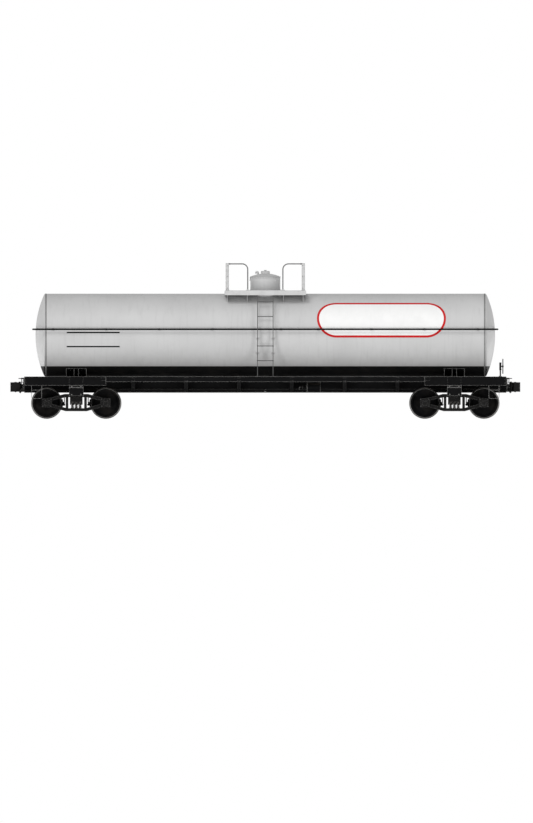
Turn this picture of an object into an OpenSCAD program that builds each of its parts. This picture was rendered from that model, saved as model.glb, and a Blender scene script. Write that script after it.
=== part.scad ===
// Insulated pressure tank car for liquefied gas, with two four-wheel trucks.
// X runs along the car, Y across it and Z up. The wheel flanges stand on z = 0.
// The a end is at -X and the b end at +X; the far side is the near side turned half round.

/* [Car] */
// Length over the end sills
car_l = 13680; // [13600:10:16500]
// Distance between the two truck centres
truck_c = 10730; // [9000:10:11000]
// Width over the running boards
deck_w = 2840; // [2800:10:3400]
// Height of the deck above the wheel flanges
deck_z = 1200; // [1170:5:1300]

/* [Tank] */
// Outside diameter of the tank
tank_d = 2350; // [1950:10:2480]
// Length of the tank's barrel
tank_l = 12450; // [11000:10:12500]
// Thickness of the tank's wall
tank_t = 18; // [12:1:30]
// Radius of the heads' dish
dish_r = 2850; // [2500:10:3600]
// Radius of the heads' knuckle
knuckle_r = 65; // [40:5:120]
// Height up the tank that the saddles reach, from its lowest line
saddle_rise = 230; // [150:5:260]
// Length of each saddle along the tank
saddle_l = 585; // [450:5:700]

/* [Valve housing] */
// Outside diameter of the housing's ring
housing_d = 850; // [700:10:940]
// Height of the ring above the top of the tank
housing_h = 479; // [430:1:560]
// Rise of the dished cover
cover_rise = 95; // [70:1:130]
// Diameter of the cap on the cover
cap_d = 258; // [200:2:300]

/* [Top platform] */
// Length of the platform around the valve housing
platform_l = 2316; // [2000:2:2700]
// Width of the platform
platform_w = 1900; // [1500:10:2000]
// Height of the platform above the top of the tank
platform_rise = 97; // [80:1:140]
// Depth of the platform's skirt
skirt_h = 139; // [100:1:180]
// Height of the railings above the platform
railing_h = 766; // [600:2:1000]
// Distance from the car's middle to the inner leg of each railing
railing_in = 482; // [440:2:560]
// Diameter of the railings' pipe
railing_d = 33.4; // [26:0.1:43]

/* [Handrail and ladders] */
// Height of the handrail above the tank's axis
handrail_rise = 165; // [0:5:300]
// Diameter of the handrail's pipe
handrail_d = 48.3; // [33:0.1:61]
// Distance from the tank's side to the handrail's centre
handrail_off = 95; // [70:5:130]
// Width between the ladders' stiles, centre to centre
ladder_w = 440; // [380:5:520]
// Height from one rung to the next
rung_pitch = 417; // [280:1:440]
// Diameter of the rungs
rung_d = 22; // [16:1:30]

/* [Underframe] */
// Height of the centre sill's underside
sill_z = 740; // [730:1:750]
// Depth of the centre sill
sill_h = 325; // [315:1:340]
// Clear width between the centre sill's webs
sill_gap = 327; // [320:1:330]
// Depth of the channels around the end platforms
channel_h = 254; // [220:1:270]
// Length of each end platform
end_deck_l = 2316; // [2200:2:2500]
// Depth of the channels along the running boards
edge_h = 150; // [120:1:180]
// Thickness of the deck boards
board_t = 45; // [30:1:50]
// Depth that the jacking brackets hang below the channels
bracket_h = 293; // [250:1:320]
// Depth that the sill steps hang below the channels
step_h = 376; // [300:2:420]
// Width of the sill steps
step_w = 300; // [260:2:360]

/* [Running gear] */
// Diameter of the wheel treads
tread_d = 838.2; // [830:0.1:845]
// Height of the wheel flanges
flange_h = 25.4; // [24:0.1:28]
// Distance between the axles of a truck
wheelbase = 1676.4; // [1600:0.1:1760]
// Distance between the backs of two wheels
back_to_back = 1348.6; // [1346:0.1:1352]
// Width of a wheel's rim
rim_w = 145.3; // [139:0.1:146]
// Diameter of the journals
journal_d = 139.7; // [127:0.1:152]
// Distance between the journal centres
journal_c = 1955.8; // [1940:0.1:1980]
// Height of the centre plates
centre_plate_z = 680; // [675:1:690]

/* [Couplers] */
// Height of the couplers' centre line
coupler_z = 901.7; // [890:0.1:905]
// Distance that the couplers reach beyond the end sills
coupler_reach = 395; // [380:1:450]
// Distance from the end sill to the coupler's pivot pin
draft_l = 500; // [460:5:560]

/* [Hidden] */
$fn = 96;
fine = 360;          // sides of the largest round surfaces
seat_gap = 0.3;      // between curved faces that rest on each other
turn_gap = 0.1;      // radial clearance of a pin or shaft that turns
move_gap = 6;        // least distance between pieces that move past each other
plate_t = 14;        // bolster and saddle plates
sheet_t = 10;        // channels and gussets

tank_r = tank_d / 2;
tank_z = deck_z + tank_r;
tank_top = tank_z + tank_r;
dish_sag = sqrt(pow(dish_r - knuckle_r, 2) - pow(tank_r - knuckle_r, 2));
dish_edge = asin((tank_r - knuckle_r) / (dish_r - knuckle_r));
head_end = tank_l / 2 + dish_r - dish_sag;

housing_r = housing_d / 2;
housing_t = 12;
housing_top = tank_top + housing_h;
cover_z = housing_top + seat_gap;
cover_t = 8;
cover_r = housing_r + 12;
cover_dish_r = (cover_r * cover_r + cover_rise * cover_rise) / (2 * cover_rise);
cover_top = cover_z + cover_rise;
cap_h = 73;
knob_d = 72;
knob_h = 26;
hinge_y = housing_r + 35;
hinge_z = housing_top + 15;
hinge_pin_r = 10;
hinge_boss_r = 16;
manway_neck_r = 250;
manway_r = 300;
manway_t = 50;
manway_z = tank_top + 60;
valve_r = 38;
valve_ring_r = 175;
outlet_r = 25;
outlet_l = 45;

platform_top = tank_top + platform_rise;
platform_t = 8;
railing_r = railing_d / 2;
railing_bend = 158;
railing_post = 90;
railing_y = platform_w / 2 - 70;
railing_post_x = platform_l / 2 - 34;
gusset_foot_y = 0.6 * tank_r;

handrail_r = handrail_d / 2;
handrail_y = tank_r + handrail_off;
handrail_z = tank_z + handrail_rise;
handrail_end = head_end + 73;
handrail_bend = 300;
rail_bracket_r = 11;
stile_t = 20;
stile_d = 60;
ladder_y = handrail_y + handrail_r + seat_gap + stile_d / 2;
ladder_top_y = platform_w / 2 - stile_d / 2;
ladder_top_z = platform_top - skirt_h;
ladder_knee_z = handrail_z + 100;
ladder_neck_z = ladder_top_z - 80;
first_rung = 450;

car_end = car_l / 2;
half_w = deck_w / 2;
truck_x = truck_c / 2;
board_z = deck_z - board_t;
sill_top = sill_z + sill_h;
sill_web = sill_gap / 2;
sill_web_t = 13;
sill_side = sill_web + sill_web_t;
sill_flange = 97;
sill_cap_t = 16;
channel_w = 76;
channel_z = deck_z - channel_h;
deck_end_x = car_end - end_deck_l;
edge_w = 50;
board_in = 760;
bearer_room = 332.3;  // from the outermost bearers to the nearest wheels' flanges
bearer_end = (truck_c - wheelbase - tread_d) / 2 - flange_h - bearer_room;
bearer_x = [-bearer_end, -2250, -750, 750, 2250, bearer_end];
saddle_reach = sqrt(tank_r * tank_r - pow(tank_r - saddle_rise, 2));
saddle_foot = saddle_reach + 30;

bolster_half = 200;
bolster_low = 760;
bolster_end_z = channel_z - 40;
side_bearing_y = 635;
side_bearing_z = 712;
centre_plate_r = 178;
bracket_top_w = 390;
bracket_low_w = 412;
bracket_in = 1175;
bracket_z = channel_z - bracket_h;
pad_h = 82;

axle_z = tread_d / 2 + flange_h;
axle_x = wheelbase / 2;
wheel_back = back_to_back / 2;
seat_r = 89;
axle_mid_r = 76;
journal_r = journal_d / 2;
journal_y = journal_c / 2;
journal_l = 254;
journal_end = journal_y + journal_l / 2 - 20;
frame_t = 120;
frame_low = 215;
frame_high = 705;
column_x = 225;
spring_z = 300;
spring_top = 480;
spring_r = 48;
box_half = 130;
shoe_gap = 8;
shoe_t = 40;

shank_w = 130;
shank_h = 160;
pivot_x = car_end - draft_l;
draft_pin_r = 44;
striker_t = 30;
striker_half = 190;
striker_open = 135;
pull_x = car_end + coupler_reach - 75;
head_h = 270;
knuckle_h = 230;
knuckle_u = -70;
knuckle_v = -105;
knuckle_pin_r = 21;
knuckle_hub_r = 62;

pipe_r = 21.1;
pipe_y = 330;
pipe_z = 800;
pipe_bend = 90;
cock_r = 36;
brake_rod_r = 12;
brake_rod_y = -420;
brake_rod_z = 842;
brake_y = 620;
brake_z = 900;
handbrake_x = car_end - 140;
handbrake_y = -560;
handbrake_z = deck_z + 290;
handbrake_r = 200;
handbrake_shaft_r = 16;
iron_r = 10;         // grab irons
lever_r = 11;        // uncoupling levers

// ---- Shared shapes ----

// A block between the two X, Y and Z values given
module block(x, y, z) {
    translate([x[0], y[0], z[0]]) cube([x[1] - x[0], y[1] - y[0], z[1] - z[0]]);
}

module rod_x(r, x, y, z) {
    translate([x[0], y, z]) rotate([0, 90, 0]) cylinder(r = r, h = x[1] - x[0]);
}

module rod_y(r, x, y, z) {
    translate([x, y[1], z]) rotate([90, 0, 0]) cylinder(r = r, h = y[1] - y[0]);
}

module rod_z(r, x, y, z) {
    translate([x, y, z[0]]) cylinder(r = r, h = z[1] - z[0]);
}

// A flat outline in Y and Z, thickened along X from x0
module slab_x(x0, t) {
    translate([x0, 0, 0]) rotate([90, 0, 90]) linear_extrude(height = t) children();
}

// A flat outline in X and Z, thickened along Y from y0
module slab_y(y0, t) {
    translate([0, y0 + t, 0]) rotate([90, 0, 0]) linear_extrude(height = t) children();
}

module both_ends() {
    children();
    rotate([0, 0, 180]) children();
}

module both_sides() {
    children();
    mirror([0, 1, 0]) children();
}

module both_ways() {
    children();
    mirror([1, 0, 0]) children();
}

// The space that the tank's barrel takes, grown by a gap
module barrel_space(gap = seat_gap) {
    translate([0, 0, tank_z]) rotate([0, 90, 0])
        cylinder(r = tank_r + gap, h = car_l, center = true, $fn = fine);
}

// A round bar bent to a U in the XZ plane, its bar at the origin and its legs down
module bent_u(width, depth, bend, r) {
    reach = width / 2 - bend;
    rotate([90, 0, 0]) {
        for (side = [-1, 1]) translate([side * reach, -bend, 0]) {
            rotate([0, side > 0 ? 0 : 180, 0]) rotate_extrude(angle = 90) translate([bend, 0]) circle(r = r);
            translate([side * bend, 0, 0]) rotate([90, 0, 0]) cylinder(r = r, h = depth - bend);
        }
        rotate([0, 90, 0]) cylinder(r = r, h = 2 * reach, center = true);
    }
}

// A channel section in Y and Z: web at y1, flanges towards y0
module channel_section(y0, y1, z0, z1, t) {
    polygon([[y0, z0], [y1, z0], [y1, z1], [y0, z1], [y0, z1 - t], [y1 - t, z1 - t], [y1 - t, z0 + t],
        [y0, z0 + t]]);
}

// ---- Tank ----

module tank_barrel() {
    color([0.78, 0.78, 0.78]) translate([0, 0, tank_z]) rotate([0, 90, 0]) difference() {
        cylinder(r = tank_r, h = tank_l, center = true, $fn = fine);
        cylinder(r = tank_r - tank_t, h = tank_l + 2, center = true, $fn = fine);
    }
}

// Half outline of a dished head: the dish's arc and the knuckle's arc, meeting tangentially
module head_outline() {
    translate([0, -dish_sag]) intersection() {
        difference() {
            circle(r = dish_r);
            circle(r = dish_r - tank_t);
        }
        polygon([[0, 0], [0, 2 * dish_r], [2 * dish_r * sin(dish_edge), 2 * dish_r * cos(dish_edge)]]);
    }
    translate([tank_r - knuckle_r, 0]) intersection() {
        difference() {
            circle(r = knuckle_r);
            circle(r = knuckle_r - tank_t);
        }
        polygon([[0, 0], [2 * knuckle_r * sin(dish_edge), 2 * knuckle_r * cos(dish_edge)],
            [2 * knuckle_r, 2 * knuckle_r], [2 * knuckle_r, 0]]);
    }
}

module tank_head() {
    color([0.78, 0.78, 0.78]) translate([tank_l / 2, 0, tank_z]) rotate([0, 90, 0]) rotate_extrude()
        head_outline();
}

module a_tank_head() {
    rotate([0, 0, 180]) tank_head();
}

module b_tank_head() {
    tank_head();
}

// ---- Valve housing ----

module valve_housing() {
    foot = tank_z + sqrt(tank_r * tank_r - housing_r * housing_r) - 20;
    color([0.78, 0.78, 0.78]) {
        difference() {
            translate([0, 0, foot]) cylinder(r = housing_r, h = housing_top - foot);
            translate([0, 0, foot - 1]) cylinder(r = housing_r - housing_t, h = housing_top - foot + 2);
            barrel_space();
        }
        hinge_lugs();
    }
}

// Two lugs on the ring that hold the cover's hinge pin
module hinge_lugs() {
    lug = [60, 84];
    both_ways() {
        difference() {
            union() {
                block(lug, [housing_r - 8, hinge_y + hinge_boss_r], [housing_top - 60, housing_top - 25]);
                block(lug, [hinge_y - hinge_boss_r, hinge_y + hinge_boss_r], [housing_top - 60, hinge_z]);
                rod_x(hinge_boss_r, lug, hinge_y, hinge_z);
            }
            rod_z(housing_r - housing_t, 0, 0, [housing_top - 61, housing_top - 20]);
        }
    }
    rod_x(hinge_pin_r, [-lug[1], lug[1]], hinge_y, hinge_z);
}

// The manway's neck and its thick round plate, inside the ring
module manway_plate() {
    foot = tank_z + sqrt(tank_r * tank_r - manway_neck_r * manway_neck_r) - 20;
    color([0.35, 0.36, 0.37]) difference() {
        union() {
            translate([0, 0, foot]) cylinder(r = manway_neck_r, h = manway_z - foot);
            translate([0, 0, manway_z]) cylinder(r = manway_r, h = manway_t);
        }
        barrel_space();
    }
}

// An angle valve that stands on the manway plate and opens towards +X
module angle_valve() {
    plate = manway_z + manway_t;
    outlet_z = plate + 90;
    difference() {
        union() {
            rod_z(valve_r, 0, 0, [plate, plate + 150]);
            rod_x(outlet_r + 8, [0, valve_r + 40], 0, outlet_z);
            rod_z(12, 0, 0, [plate + 150, plate + 200]);
            rod_z(55, 0, 0, [plate + 186, plate + 200]);
        }
        rod_x(outlet_r, [valve_r + 40 - outlet_l, valve_r + 41], 0, outlet_z);
    }
}

// The safety valve in the middle, two liquid valves, one vapour valve and the gauging rod
module housing_valves() {
    plate = manway_z + manway_t;
    color([0.62, 0.52, 0.3]) {
        rod_z(78, 0, 0, [plate, plate + 110]);
        rod_z(52, 0, 0, [plate + 110, plate + 235]);
        for (turn = [0, 90, 180]) rotate([0, 0, turn]) translate([valve_ring_r, 0, 0]) angle_valve();
        rod_z(30, 0, -valve_ring_r, [plate, plate + 60]);
        rod_z(16, 0, -valve_ring_r, [plate + 60, plate + 210]);
    }
}

// The sphere that the cover's dish is part of
module dish_ball(grow = 0) {
    translate([0, 0, cover_top - cover_dish_r]) sphere(r = cover_dish_r + grow, $fn = fine);
}

module housing_cover() {
    color([0.8, 0.8, 0.8]) {
        difference() {
            intersection() {
                dish_ball();
                translate([0, 0, cover_z]) cylinder(r = cover_r, h = cover_rise + 10);
            }
            dish_ball(-cover_t);
        }
        difference() {
            union() {
                block([-50, 50], [housing_r - 4, hinge_y], [hinge_z - 13, hinge_z]);
                rod_x(hinge_boss_r, [-50, 50], hinge_y, hinge_z);
            }
            rod_x(hinge_pin_r + turn_gap, [-51, 51], hinge_y, hinge_z);
        }
    }
}

// The round cap with its knob, and the vent that is bent over to face down
module cover_fittings() {
    vent_r = 26;
    vent_bend = 30;
    vent_x = -205;
    vent_z = cover_top + cap_h - vent_bend - vent_r;
    color([0.75, 0.75, 0.75]) difference() {
        union() {
            translate([0, 0, cover_top - 20]) cylinder(r = cap_d / 2, h = cap_h + 20 - 18);
            translate([0, 0, cover_top + cap_h - 18]) cylinder(r1 = cap_d / 2, r2 = cap_d / 2 - 30, h = 18);
            translate([0, 0, cover_top + cap_h]) cylinder(r = knob_d / 2, h = knob_h);
            rod_z(vent_r, vent_x, 0, [cover_top - 60, vent_z]);
            translate([vent_x - vent_bend, 0, vent_z]) rotate([90, 0, 0]) rotate_extrude(angle = 180)
                translate([vent_bend, 0]) circle(r = vent_r);
            rod_z(vent_r, vent_x - 2 * vent_bend, 0, [vent_z - 22, vent_z]);
        }
        dish_ball(seat_gap);
        rod_z(vent_r - 5, vent_x - 2 * vent_bend, 0, [vent_z - 23, vent_z]);
    }
}

// ---- Top platform ----

module top_platform() {
    half_l = platform_l / 2;
    low = platform_top - skirt_h;
    bevel = 22;
    color([0.82, 0.82, 0.82]) difference() {
        intersection() {
            block([-half_l, half_l], [-platform_w / 2, platform_w / 2], [low, platform_top]);
            slab_y(-platform_w, 2 * platform_w) polygon([[-half_l + bevel, low], [half_l - bevel, low],
                [half_l, low + bevel], [half_l, platform_top - bevel], [half_l - bevel, platform_top],
                [bevel - half_l, platform_top], [-half_l, platform_top - bevel], [-half_l, low + bevel]]);
        }
        block([bevel - half_l, half_l - bevel], [platform_t - platform_w / 2, platform_w / 2 - platform_t],
            [low - 1, platform_top - platform_t]);
        translate([0, 0, low]) cylinder(r = housing_r + 10, h = skirt_h + 1);
        barrel_space();
    }
}

// Upright plates that carry the platform on the tank
module platform_gussets() {
    top = platform_top - platform_t;
    edge = platform_w / 2 - platform_t;
    low = tank_z + sqrt(tank_r * tank_r - gusset_foot_y * gusset_foot_y) - 10;
    outer = platform_l / 2 - 80;
    inner = housing_r + 80;
    color([0.7, 0.7, 0.7]) for (x = [-outer, -inner - sheet_t, inner, outer - sheet_t])
        difference() {
            slab_x(x, sheet_t) polygon([[-edge, top], [edge, top], [edge, top - 80], [gusset_foot_y, low],
                [-gusset_foot_y, low], [-edge, top - 80]]);
            barrel_space();
        }
}

// One end's railing: two corner posts, a rail along each side and one rail across
module end_railing() {
    top = platform_top + railing_h - railing_r;
    both_sides() {
        translate([railing_post_x - railing_post, railing_y - 8, platform_top])
            cube([railing_post, 8, railing_h]);
        translate([railing_post_x - 8, railing_y - railing_post, platform_top])
            cube([8, railing_post, railing_h]);
        rod_z(railing_r, railing_in + railing_r, railing_y - 25, [platform_top, top - railing_bend]);
        translate([railing_in + railing_r + railing_bend, railing_y - 25, top - railing_bend])
            rotate([90, 0, 0]) rotate([0, 0, 90]) rotate_extrude(angle = 90) translate([railing_bend, 0])
                circle(r = railing_r);
        rod_x(railing_r, [railing_in + railing_r + railing_bend, railing_post_x - 4], railing_y - 25, top);
    }
    rod_y(railing_r, railing_post_x - 25, [4 - railing_y, railing_y - 4], top);
}

module platform_railings() {
    color([0.6, 0.6, 0.6]) both_ends() end_railing();
}

// ---- Ladders and handrails ----

// Distance of the ladder's centre line from the car's middle, at a height
function ladder_line(z) = z < ladder_knee_z ? ladder_y : z > ladder_neck_z ? ladder_top_y
    : ladder_y + (ladder_top_y - ladder_y) * (z - ladder_knee_z) / (ladder_neck_z - ladder_knee_z);

module ladder() {
    d = stile_d / 2;
    color([0.6, 0.6, 0.6]) {
        for (side = [-1, 1]) slab_x(side * ladder_w / 2 - stile_t / 2, stile_t)
            polygon([[ladder_y - d, deck_z], [ladder_y + d, deck_z], [ladder_y + d, ladder_knee_z + 5],
                [ladder_top_y + d, ladder_neck_z + 5], [ladder_top_y + d, ladder_top_z],
                [ladder_top_y - d, ladder_top_z], [ladder_top_y - d, ladder_neck_z - 5],
                [ladder_y - d, ladder_knee_z - 5]]);
        for (z = [deck_z + first_rung : rung_pitch : ladder_neck_z])
            if (abs(z - handrail_z) > rung_pitch / 4)
                rod_x(rung_d / 2, [-ladder_w / 2, ladder_w / 2], ladder_line(z), z);
    }
}

module left_ladder() {
    mirror([0, 1, 0]) ladder();
}

module right_ladder() {
    ladder();
}

module side_handrails() {
    color([0.1, 0.1, 0.1]) both_sides()
        rod_x(handrail_r, [handrail_bend - handrail_end, handrail_end - handrail_bend], handrail_y,
            handrail_z);
}

// The rails that carry on around the heads
module end_handrails() {
    color([0.1, 0.1, 0.1]) both_ends() translate([handrail_end, 0, handrail_z]) rotate([0, 90, 0])
        rotate([0, 0, 90]) bent_u(2 * handrail_y, handrail_bend, handrail_bend, handrail_r);
}

// Short bars that hold the handrail off the tank
module handrail_brackets() {
    side_x = [for (i = [-4 : 4]) i * (tank_l / 2 - 200) / 4];
    color([0.3, 0.3, 0.3]) {
        both_sides() difference() {
            for (x = side_x) rod_y(rail_bracket_r, x == 0 ? ladder_w : x, [tank_r - 40, handrail_y],
                handrail_z);
            barrel_space();
            rod_x(handrail_r + seat_gap, [-car_end, car_end], handrail_y, handrail_z);
        }
        both_ends() difference() {
            for (y = [-tank_r / 2, tank_r / 2])
                rod_x(rail_bracket_r, [tank_l / 2, handrail_end], y, handrail_z);
            translate([tank_l / 2 - dish_sag, 0, tank_z]) sphere(r = dish_r + seat_gap, $fn = fine);
            rod_y(handrail_r + seat_gap, handrail_end, [-handrail_y, handrail_y], handrail_z);
        }
    }
}

// ---- Underframe ----

module centre_sill() {
    s = sill_side;
    color([0.03, 0.03, 0.03]) difference() {
        slab_x(-car_end, car_l) polygon([[-s - sill_flange, sill_z], [-sill_web, sill_z],
            [-sill_web, sill_top - sill_cap_t], [sill_web, sill_top - sill_cap_t], [sill_web, sill_z],
            [s + sill_flange, sill_z], [s + sill_flange, sill_z + sill_cap_t], [s, sill_z + sill_cap_t],
            [s, sill_top], [-s, sill_top], [-s, sill_z + sill_cap_t],
            [-s - sill_flange, sill_z + sill_cap_t]]);
        rod_y(pipe_r + move_gap, 0, [-s - 1, s + 1], pipe_z);
    }
}

// An end sill: a channel between the side channels, with the striker around the coupler's shank
module end_sill() {
    low = coupler_z - shank_h / 2 - 8;
    color([0.03, 0.03, 0.03]) {
        difference() {
            translate([car_end, 0, 0]) rotate([0, 0, -90]) slab_x(channel_w - half_w, deck_w - 2 * channel_w)
                channel_section(-channel_w, 0, channel_z, deck_z, sheet_t);
            block([car_end - channel_w - 1, car_end + 1], [-sill_side, sill_side], [channel_z - 1, sill_top]);
        }
        difference() {
            block([car_end, car_end + striker_t], [-striker_half, striker_half], [low - 50, deck_z - 60]);
            block([car_end - 1, car_end + striker_t + 1], [-striker_open, striker_open],
                [low, coupler_z + shank_h / 2 + 20]);
        }
    }
}

module end_sills() {
    both_ends() end_sill();
}

module end_side_channels() {
    color([0.03, 0.03, 0.03]) both_ends() both_sides()
        slab_x(deck_end_x, end_deck_l)
            channel_section(half_w - channel_w, half_w, channel_z, deck_z, sheet_t);
}

// The space in a deck that an end's saddle stands in
module saddle_opening() {
    translate([truck_x, 0, 0]) block([-saddle_l / 2 - seat_gap, saddle_l / 2 + seat_gap],
        [-saddle_foot - seat_gap, saddle_foot + seat_gap], [board_z - 1, deck_z + 1]);
}

// Boards along both sides of an end platform and across its outer end
module end_decks() {
    x1 = car_end - channel_w;
    y1 = half_w - channel_w;
    color([0.12, 0.12, 0.12]) both_ends() difference() {
        block([deck_end_x, x1], [-y1, y1], [board_z, deck_z]);
        block([deck_end_x - 1, head_end + 40], [-board_in, board_in], [board_z - 1, deck_z + 1]);
        saddle_opening();
    }
}

module running_boards() {
    color([0.12, 0.12, 0.12]) both_sides() difference() {
        block([-deck_end_x, deck_end_x], [board_in - 60, half_w - edge_w], [board_z, deck_z]);
        both_ends() saddle_opening();
    }
}

module edge_channels() {
    color([0.03, 0.03, 0.03]) both_sides() slab_x(-deck_end_x, 2 * deck_end_x)
        channel_section(half_w - edge_w, half_w, deck_z - edge_h, deck_z, 8);
}

// Tapered brackets from the centre sill out to the edge channels
module cross_bearers() {
    low = sill_z + 30;
    out = half_w - edge_w;
    out_z = deck_z - edge_h + 10;
    color([0.03, 0.03, 0.03]) both_sides() for (x = bearer_x) difference() {
        union() {
            slab_x(x - 7, 14) polygon([[sill_side, low], [300, low], [out, out_z], [out, board_z],
                [sill_side, board_z]]);
            block([x - 50, x + 50], [sill_side, out], [board_z - sheet_t, board_z]);
            slab_x(x - 50, 100) polygon([[sill_side, low], [300, low], [out, out_z], [out, out_z + sheet_t],
                [297, low + sheet_t], [sill_side, low + sheet_t]]);
        }
        rod_x(pipe_r + seat_gap, [x - 60, x + 60], pipe_y, pipe_z);
        rod_x(brake_rod_r + move_gap, [x - 60, x + 60], -brake_rod_y, brake_rod_z);
    }
}

// Half of a bolster's outline in Y and Z, drawn inwards by t
module bolster_outline(t) {
    top = board_z - t;
    out = half_w - channel_w - t;
    polygon([[0, sill_top + t], [sill_side + t, sill_top + t], [sill_side + t, bolster_low + t],
        [430, bolster_low + t], [bracket_in - 25, bolster_end_z + t], [out, bolster_end_z + t],
        [out, top], [0, top]]);
}

// A box-section bolster across the car, over the centre sill
module body_bolster() {
    difference() {
        both_sides() slab_x(-bolster_half, 2 * bolster_half) bolster_outline(0);
        both_sides() slab_x(plate_t - bolster_half, 2 * (bolster_half - plate_t)) difference() {
            bolster_outline(plate_t);
            square([2 * plate_t, deck_z]);
        }
        both_sides() rod_x(pipe_r + move_gap, [-bolster_half - 1, bolster_half + 1], pipe_y, pipe_z);
    }
    both_sides() block([-90, 90], [side_bearing_y - 50, side_bearing_y + 50],
        [side_bearing_z + move_gap, bolster_low + 70]);
}

module body_bolsters() {
    color([0.03, 0.03, 0.03]) both_ends() translate([truck_x, 0, 0]) body_bolster();
}

// The filler in the centre sill and the round plate that turns on the truck
module centre_plates() {
    color([0.05, 0.05, 0.05]) both_ends() translate([truck_x, 0, 0]) {
        block([-bolster_half, bolster_half], [-sill_web, sill_web], [sill_z, sill_z + 90]);
        rod_z(centre_plate_r, 0, 0, [centre_plate_z + seat_gap, sill_z]);
    }
}

// A curved plate that hugs the tank, on four upright plates
module tank_saddle() {
    top = deck_z + saddle_rise;
    skin = seat_gap + plate_t;
    intersection() {
        difference() {
            barrel_space(skin);
            barrel_space();
        }
        block([-saddle_l / 2, saddle_l / 2], [-saddle_reach - skin, saddle_reach + skin],
            [deck_z - skin - 1, top]);
    }
    difference() {
        for (x = [-saddle_l / 2, -70, 70 - plate_t, saddle_l / 2 - plate_t]) slab_x(x, plate_t)
            polygon([[-saddle_foot, board_z], [saddle_foot, board_z], [saddle_reach + 2, top - 8],
                [-saddle_reach - 2, top - 8]]);
        barrel_space(2);
    }
}

module tank_saddles() {
    color([0.03, 0.03, 0.03]) both_ends() translate([truck_x, 0, 0]) tank_saddle();
}

// The anchor that holds the tank to the centre sill at the car's middle
module tank_anchor() {
    color([0.03, 0.03, 0.03]) difference() {
        block([-900, 900], [-sill_side, sill_side], [sill_top, deck_z + 12]);
        block([-880, 880], [20 - sill_side, sill_side - 20], [sill_top - 1, deck_z - 20]);
        barrel_space();
    }
}

// A bracket below each end of a bolster, with the pad that a jack lifts on
module jacking_bracket() {
    y1 = half_w - 10;
    low = bracket_low_w / 2;
    top = bracket_top_w / 2;
    module outline(z0) {
        at = top + (low - top) * (channel_z - z0) / bracket_h;
        polygon([[-at, z0], [at, z0], [top, channel_z], [-top, channel_z]]);
    }
    slab_y(y1 - 20, 20) outline(bracket_z);
    block([-low, low], [bracket_in, y1], [bracket_z, bracket_z + pad_h]);
    block([-top - 3, top + 3], [bracket_in + 60, y1 + 6], [channel_z - 64, channel_z - 52]);
    for (x = [-170, 150]) block([x, x + 20], [bracket_in + 20, y1], [bracket_z + pad_h - 1, channel_z - 40]);
    for (x = [-170, 150]) block([x, x + 20], [half_w - channel_w, y1], [bracket_z + pad_h - 1, channel_z]);
}

module jacking_brackets() {
    color([0.03, 0.03, 0.03]) both_ends() both_sides() translate([truck_x, 0, 0]) jacking_bracket();
}

// The yoke, its gear block and the pin that the coupler swings on
module draft_gear() {
    pocket = shank_h / 2 + 1;
    strap = 25;
    rear = pivot_x - 620;
    for (side = [-1, 1]) {
        z = coupler_z + side * (pocket + strap / 2);
        block([rear, pivot_x + 75], [-62, 62], [z - strap / 2, z + strap / 2]);
    }
    block([rear, pivot_x - 135 - move_gap], [-sill_web, sill_web],
        [coupler_z - pocket - 1, coupler_z + pocket + 1]);
    rod_z(draft_pin_r, pivot_x, 0, [coupler_z - pocket - strap - 10, coupler_z + pocket + strap]);
}

module draft_gears() {
    color([0.1, 0.09, 0.08]) both_ends() draft_gear();
}

// ---- Steps, irons and levers ----

// A rectangle with two rounded lower corners, hanging from z = 0
module strap_outline(w, h, r) {
    translate([-w / 2, r - h]) square([w, h - r]);
    translate([r - w / 2, -h]) square([w - 2 * r, r + 1]);
    for (side = [-1, 1]) translate([side * (w / 2 - r), r - h]) circle(r = r);
}

// A strap bent to a U under the side channel, with a tread halfway down
module sill_step() {
    strap = 12;
    slab_y(-25, 50) difference() {
        strap_outline(step_w, step_h, 50);
        translate([0, 1]) strap_outline(step_w - 2 * strap, step_h - strap + 1, 50 - strap);
    }
    block([strap - 1 - step_w / 2, step_w / 2 - strap + 1], [-25, 25], [-step_h / 3 - strap, -step_h / 3]);
}

module sill_steps() {
    color([0.05, 0.05, 0.05]) both_ends() both_sides()
        translate([car_end - step_w / 2 - 200, half_w - 45, channel_z]) sill_step();
}

// Round bars across the outer face of each end sill
module grab_irons() {
    color([0.05, 0.05, 0.05]) both_ends() for (y = [-half_w + 390, half_w - 390])
        translate([car_end + 60, y, channel_z + 95]) rotate([0, 0, 90]) rotate([90, 0, 0])
            bent_u(450, 60, 35, iron_r);
}

// A lever from the car's corner to above the coupler, on two brackets
module uncoupling_lever() {
    x = car_end + 75;
    z = deck_z - 55;
    bend = 60;
    outer = half_w - 120;
    rod_y(lever_r, x, [-outer + bend, -10], z);
    translate([x, -outer + bend, z - bend]) rotate([90, 0, -90]) rotate_extrude(angle = 90)
        translate([bend, 0]) circle(r = lever_r);
    rod_z(lever_r, x, -outer, [z - 260, z - bend]);
    rod_x(lever_r, [x, x + 90], -10, z);
    translate([x, -10, z]) sphere(r = lever_r + 2);
    for (y = [-outer + 200, -300]) block([car_end, x + 16], [y - 8, y + 8], [z - 20, z + 20]);
}

module uncoupling_levers() {
    color([0.05, 0.05, 0.05]) both_ends() uncoupling_lever();
}

// ---- Brake gear ----

// A level bracket from the centre sill's web out to a hanging piece
module arm(x, y) {
    block([x - 60, x + 60], [sill_side, y], [brake_z - 20, brake_z + 20]);
}

module brake_cylinder() {
    color([0.06, 0.06, 0.06]) mirror([0, 1, 0]) {
        rod_x(128, [1180, 1560], brake_y, brake_z);
        rod_x(140, [1170, 1195], brake_y, brake_z);
        rod_x(40, [1060, 1180], brake_y, brake_z);
        rod_x(16, [985, 1060], brake_y, brake_z);
        arm(1380, brake_y - 100);
    }
}

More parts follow.
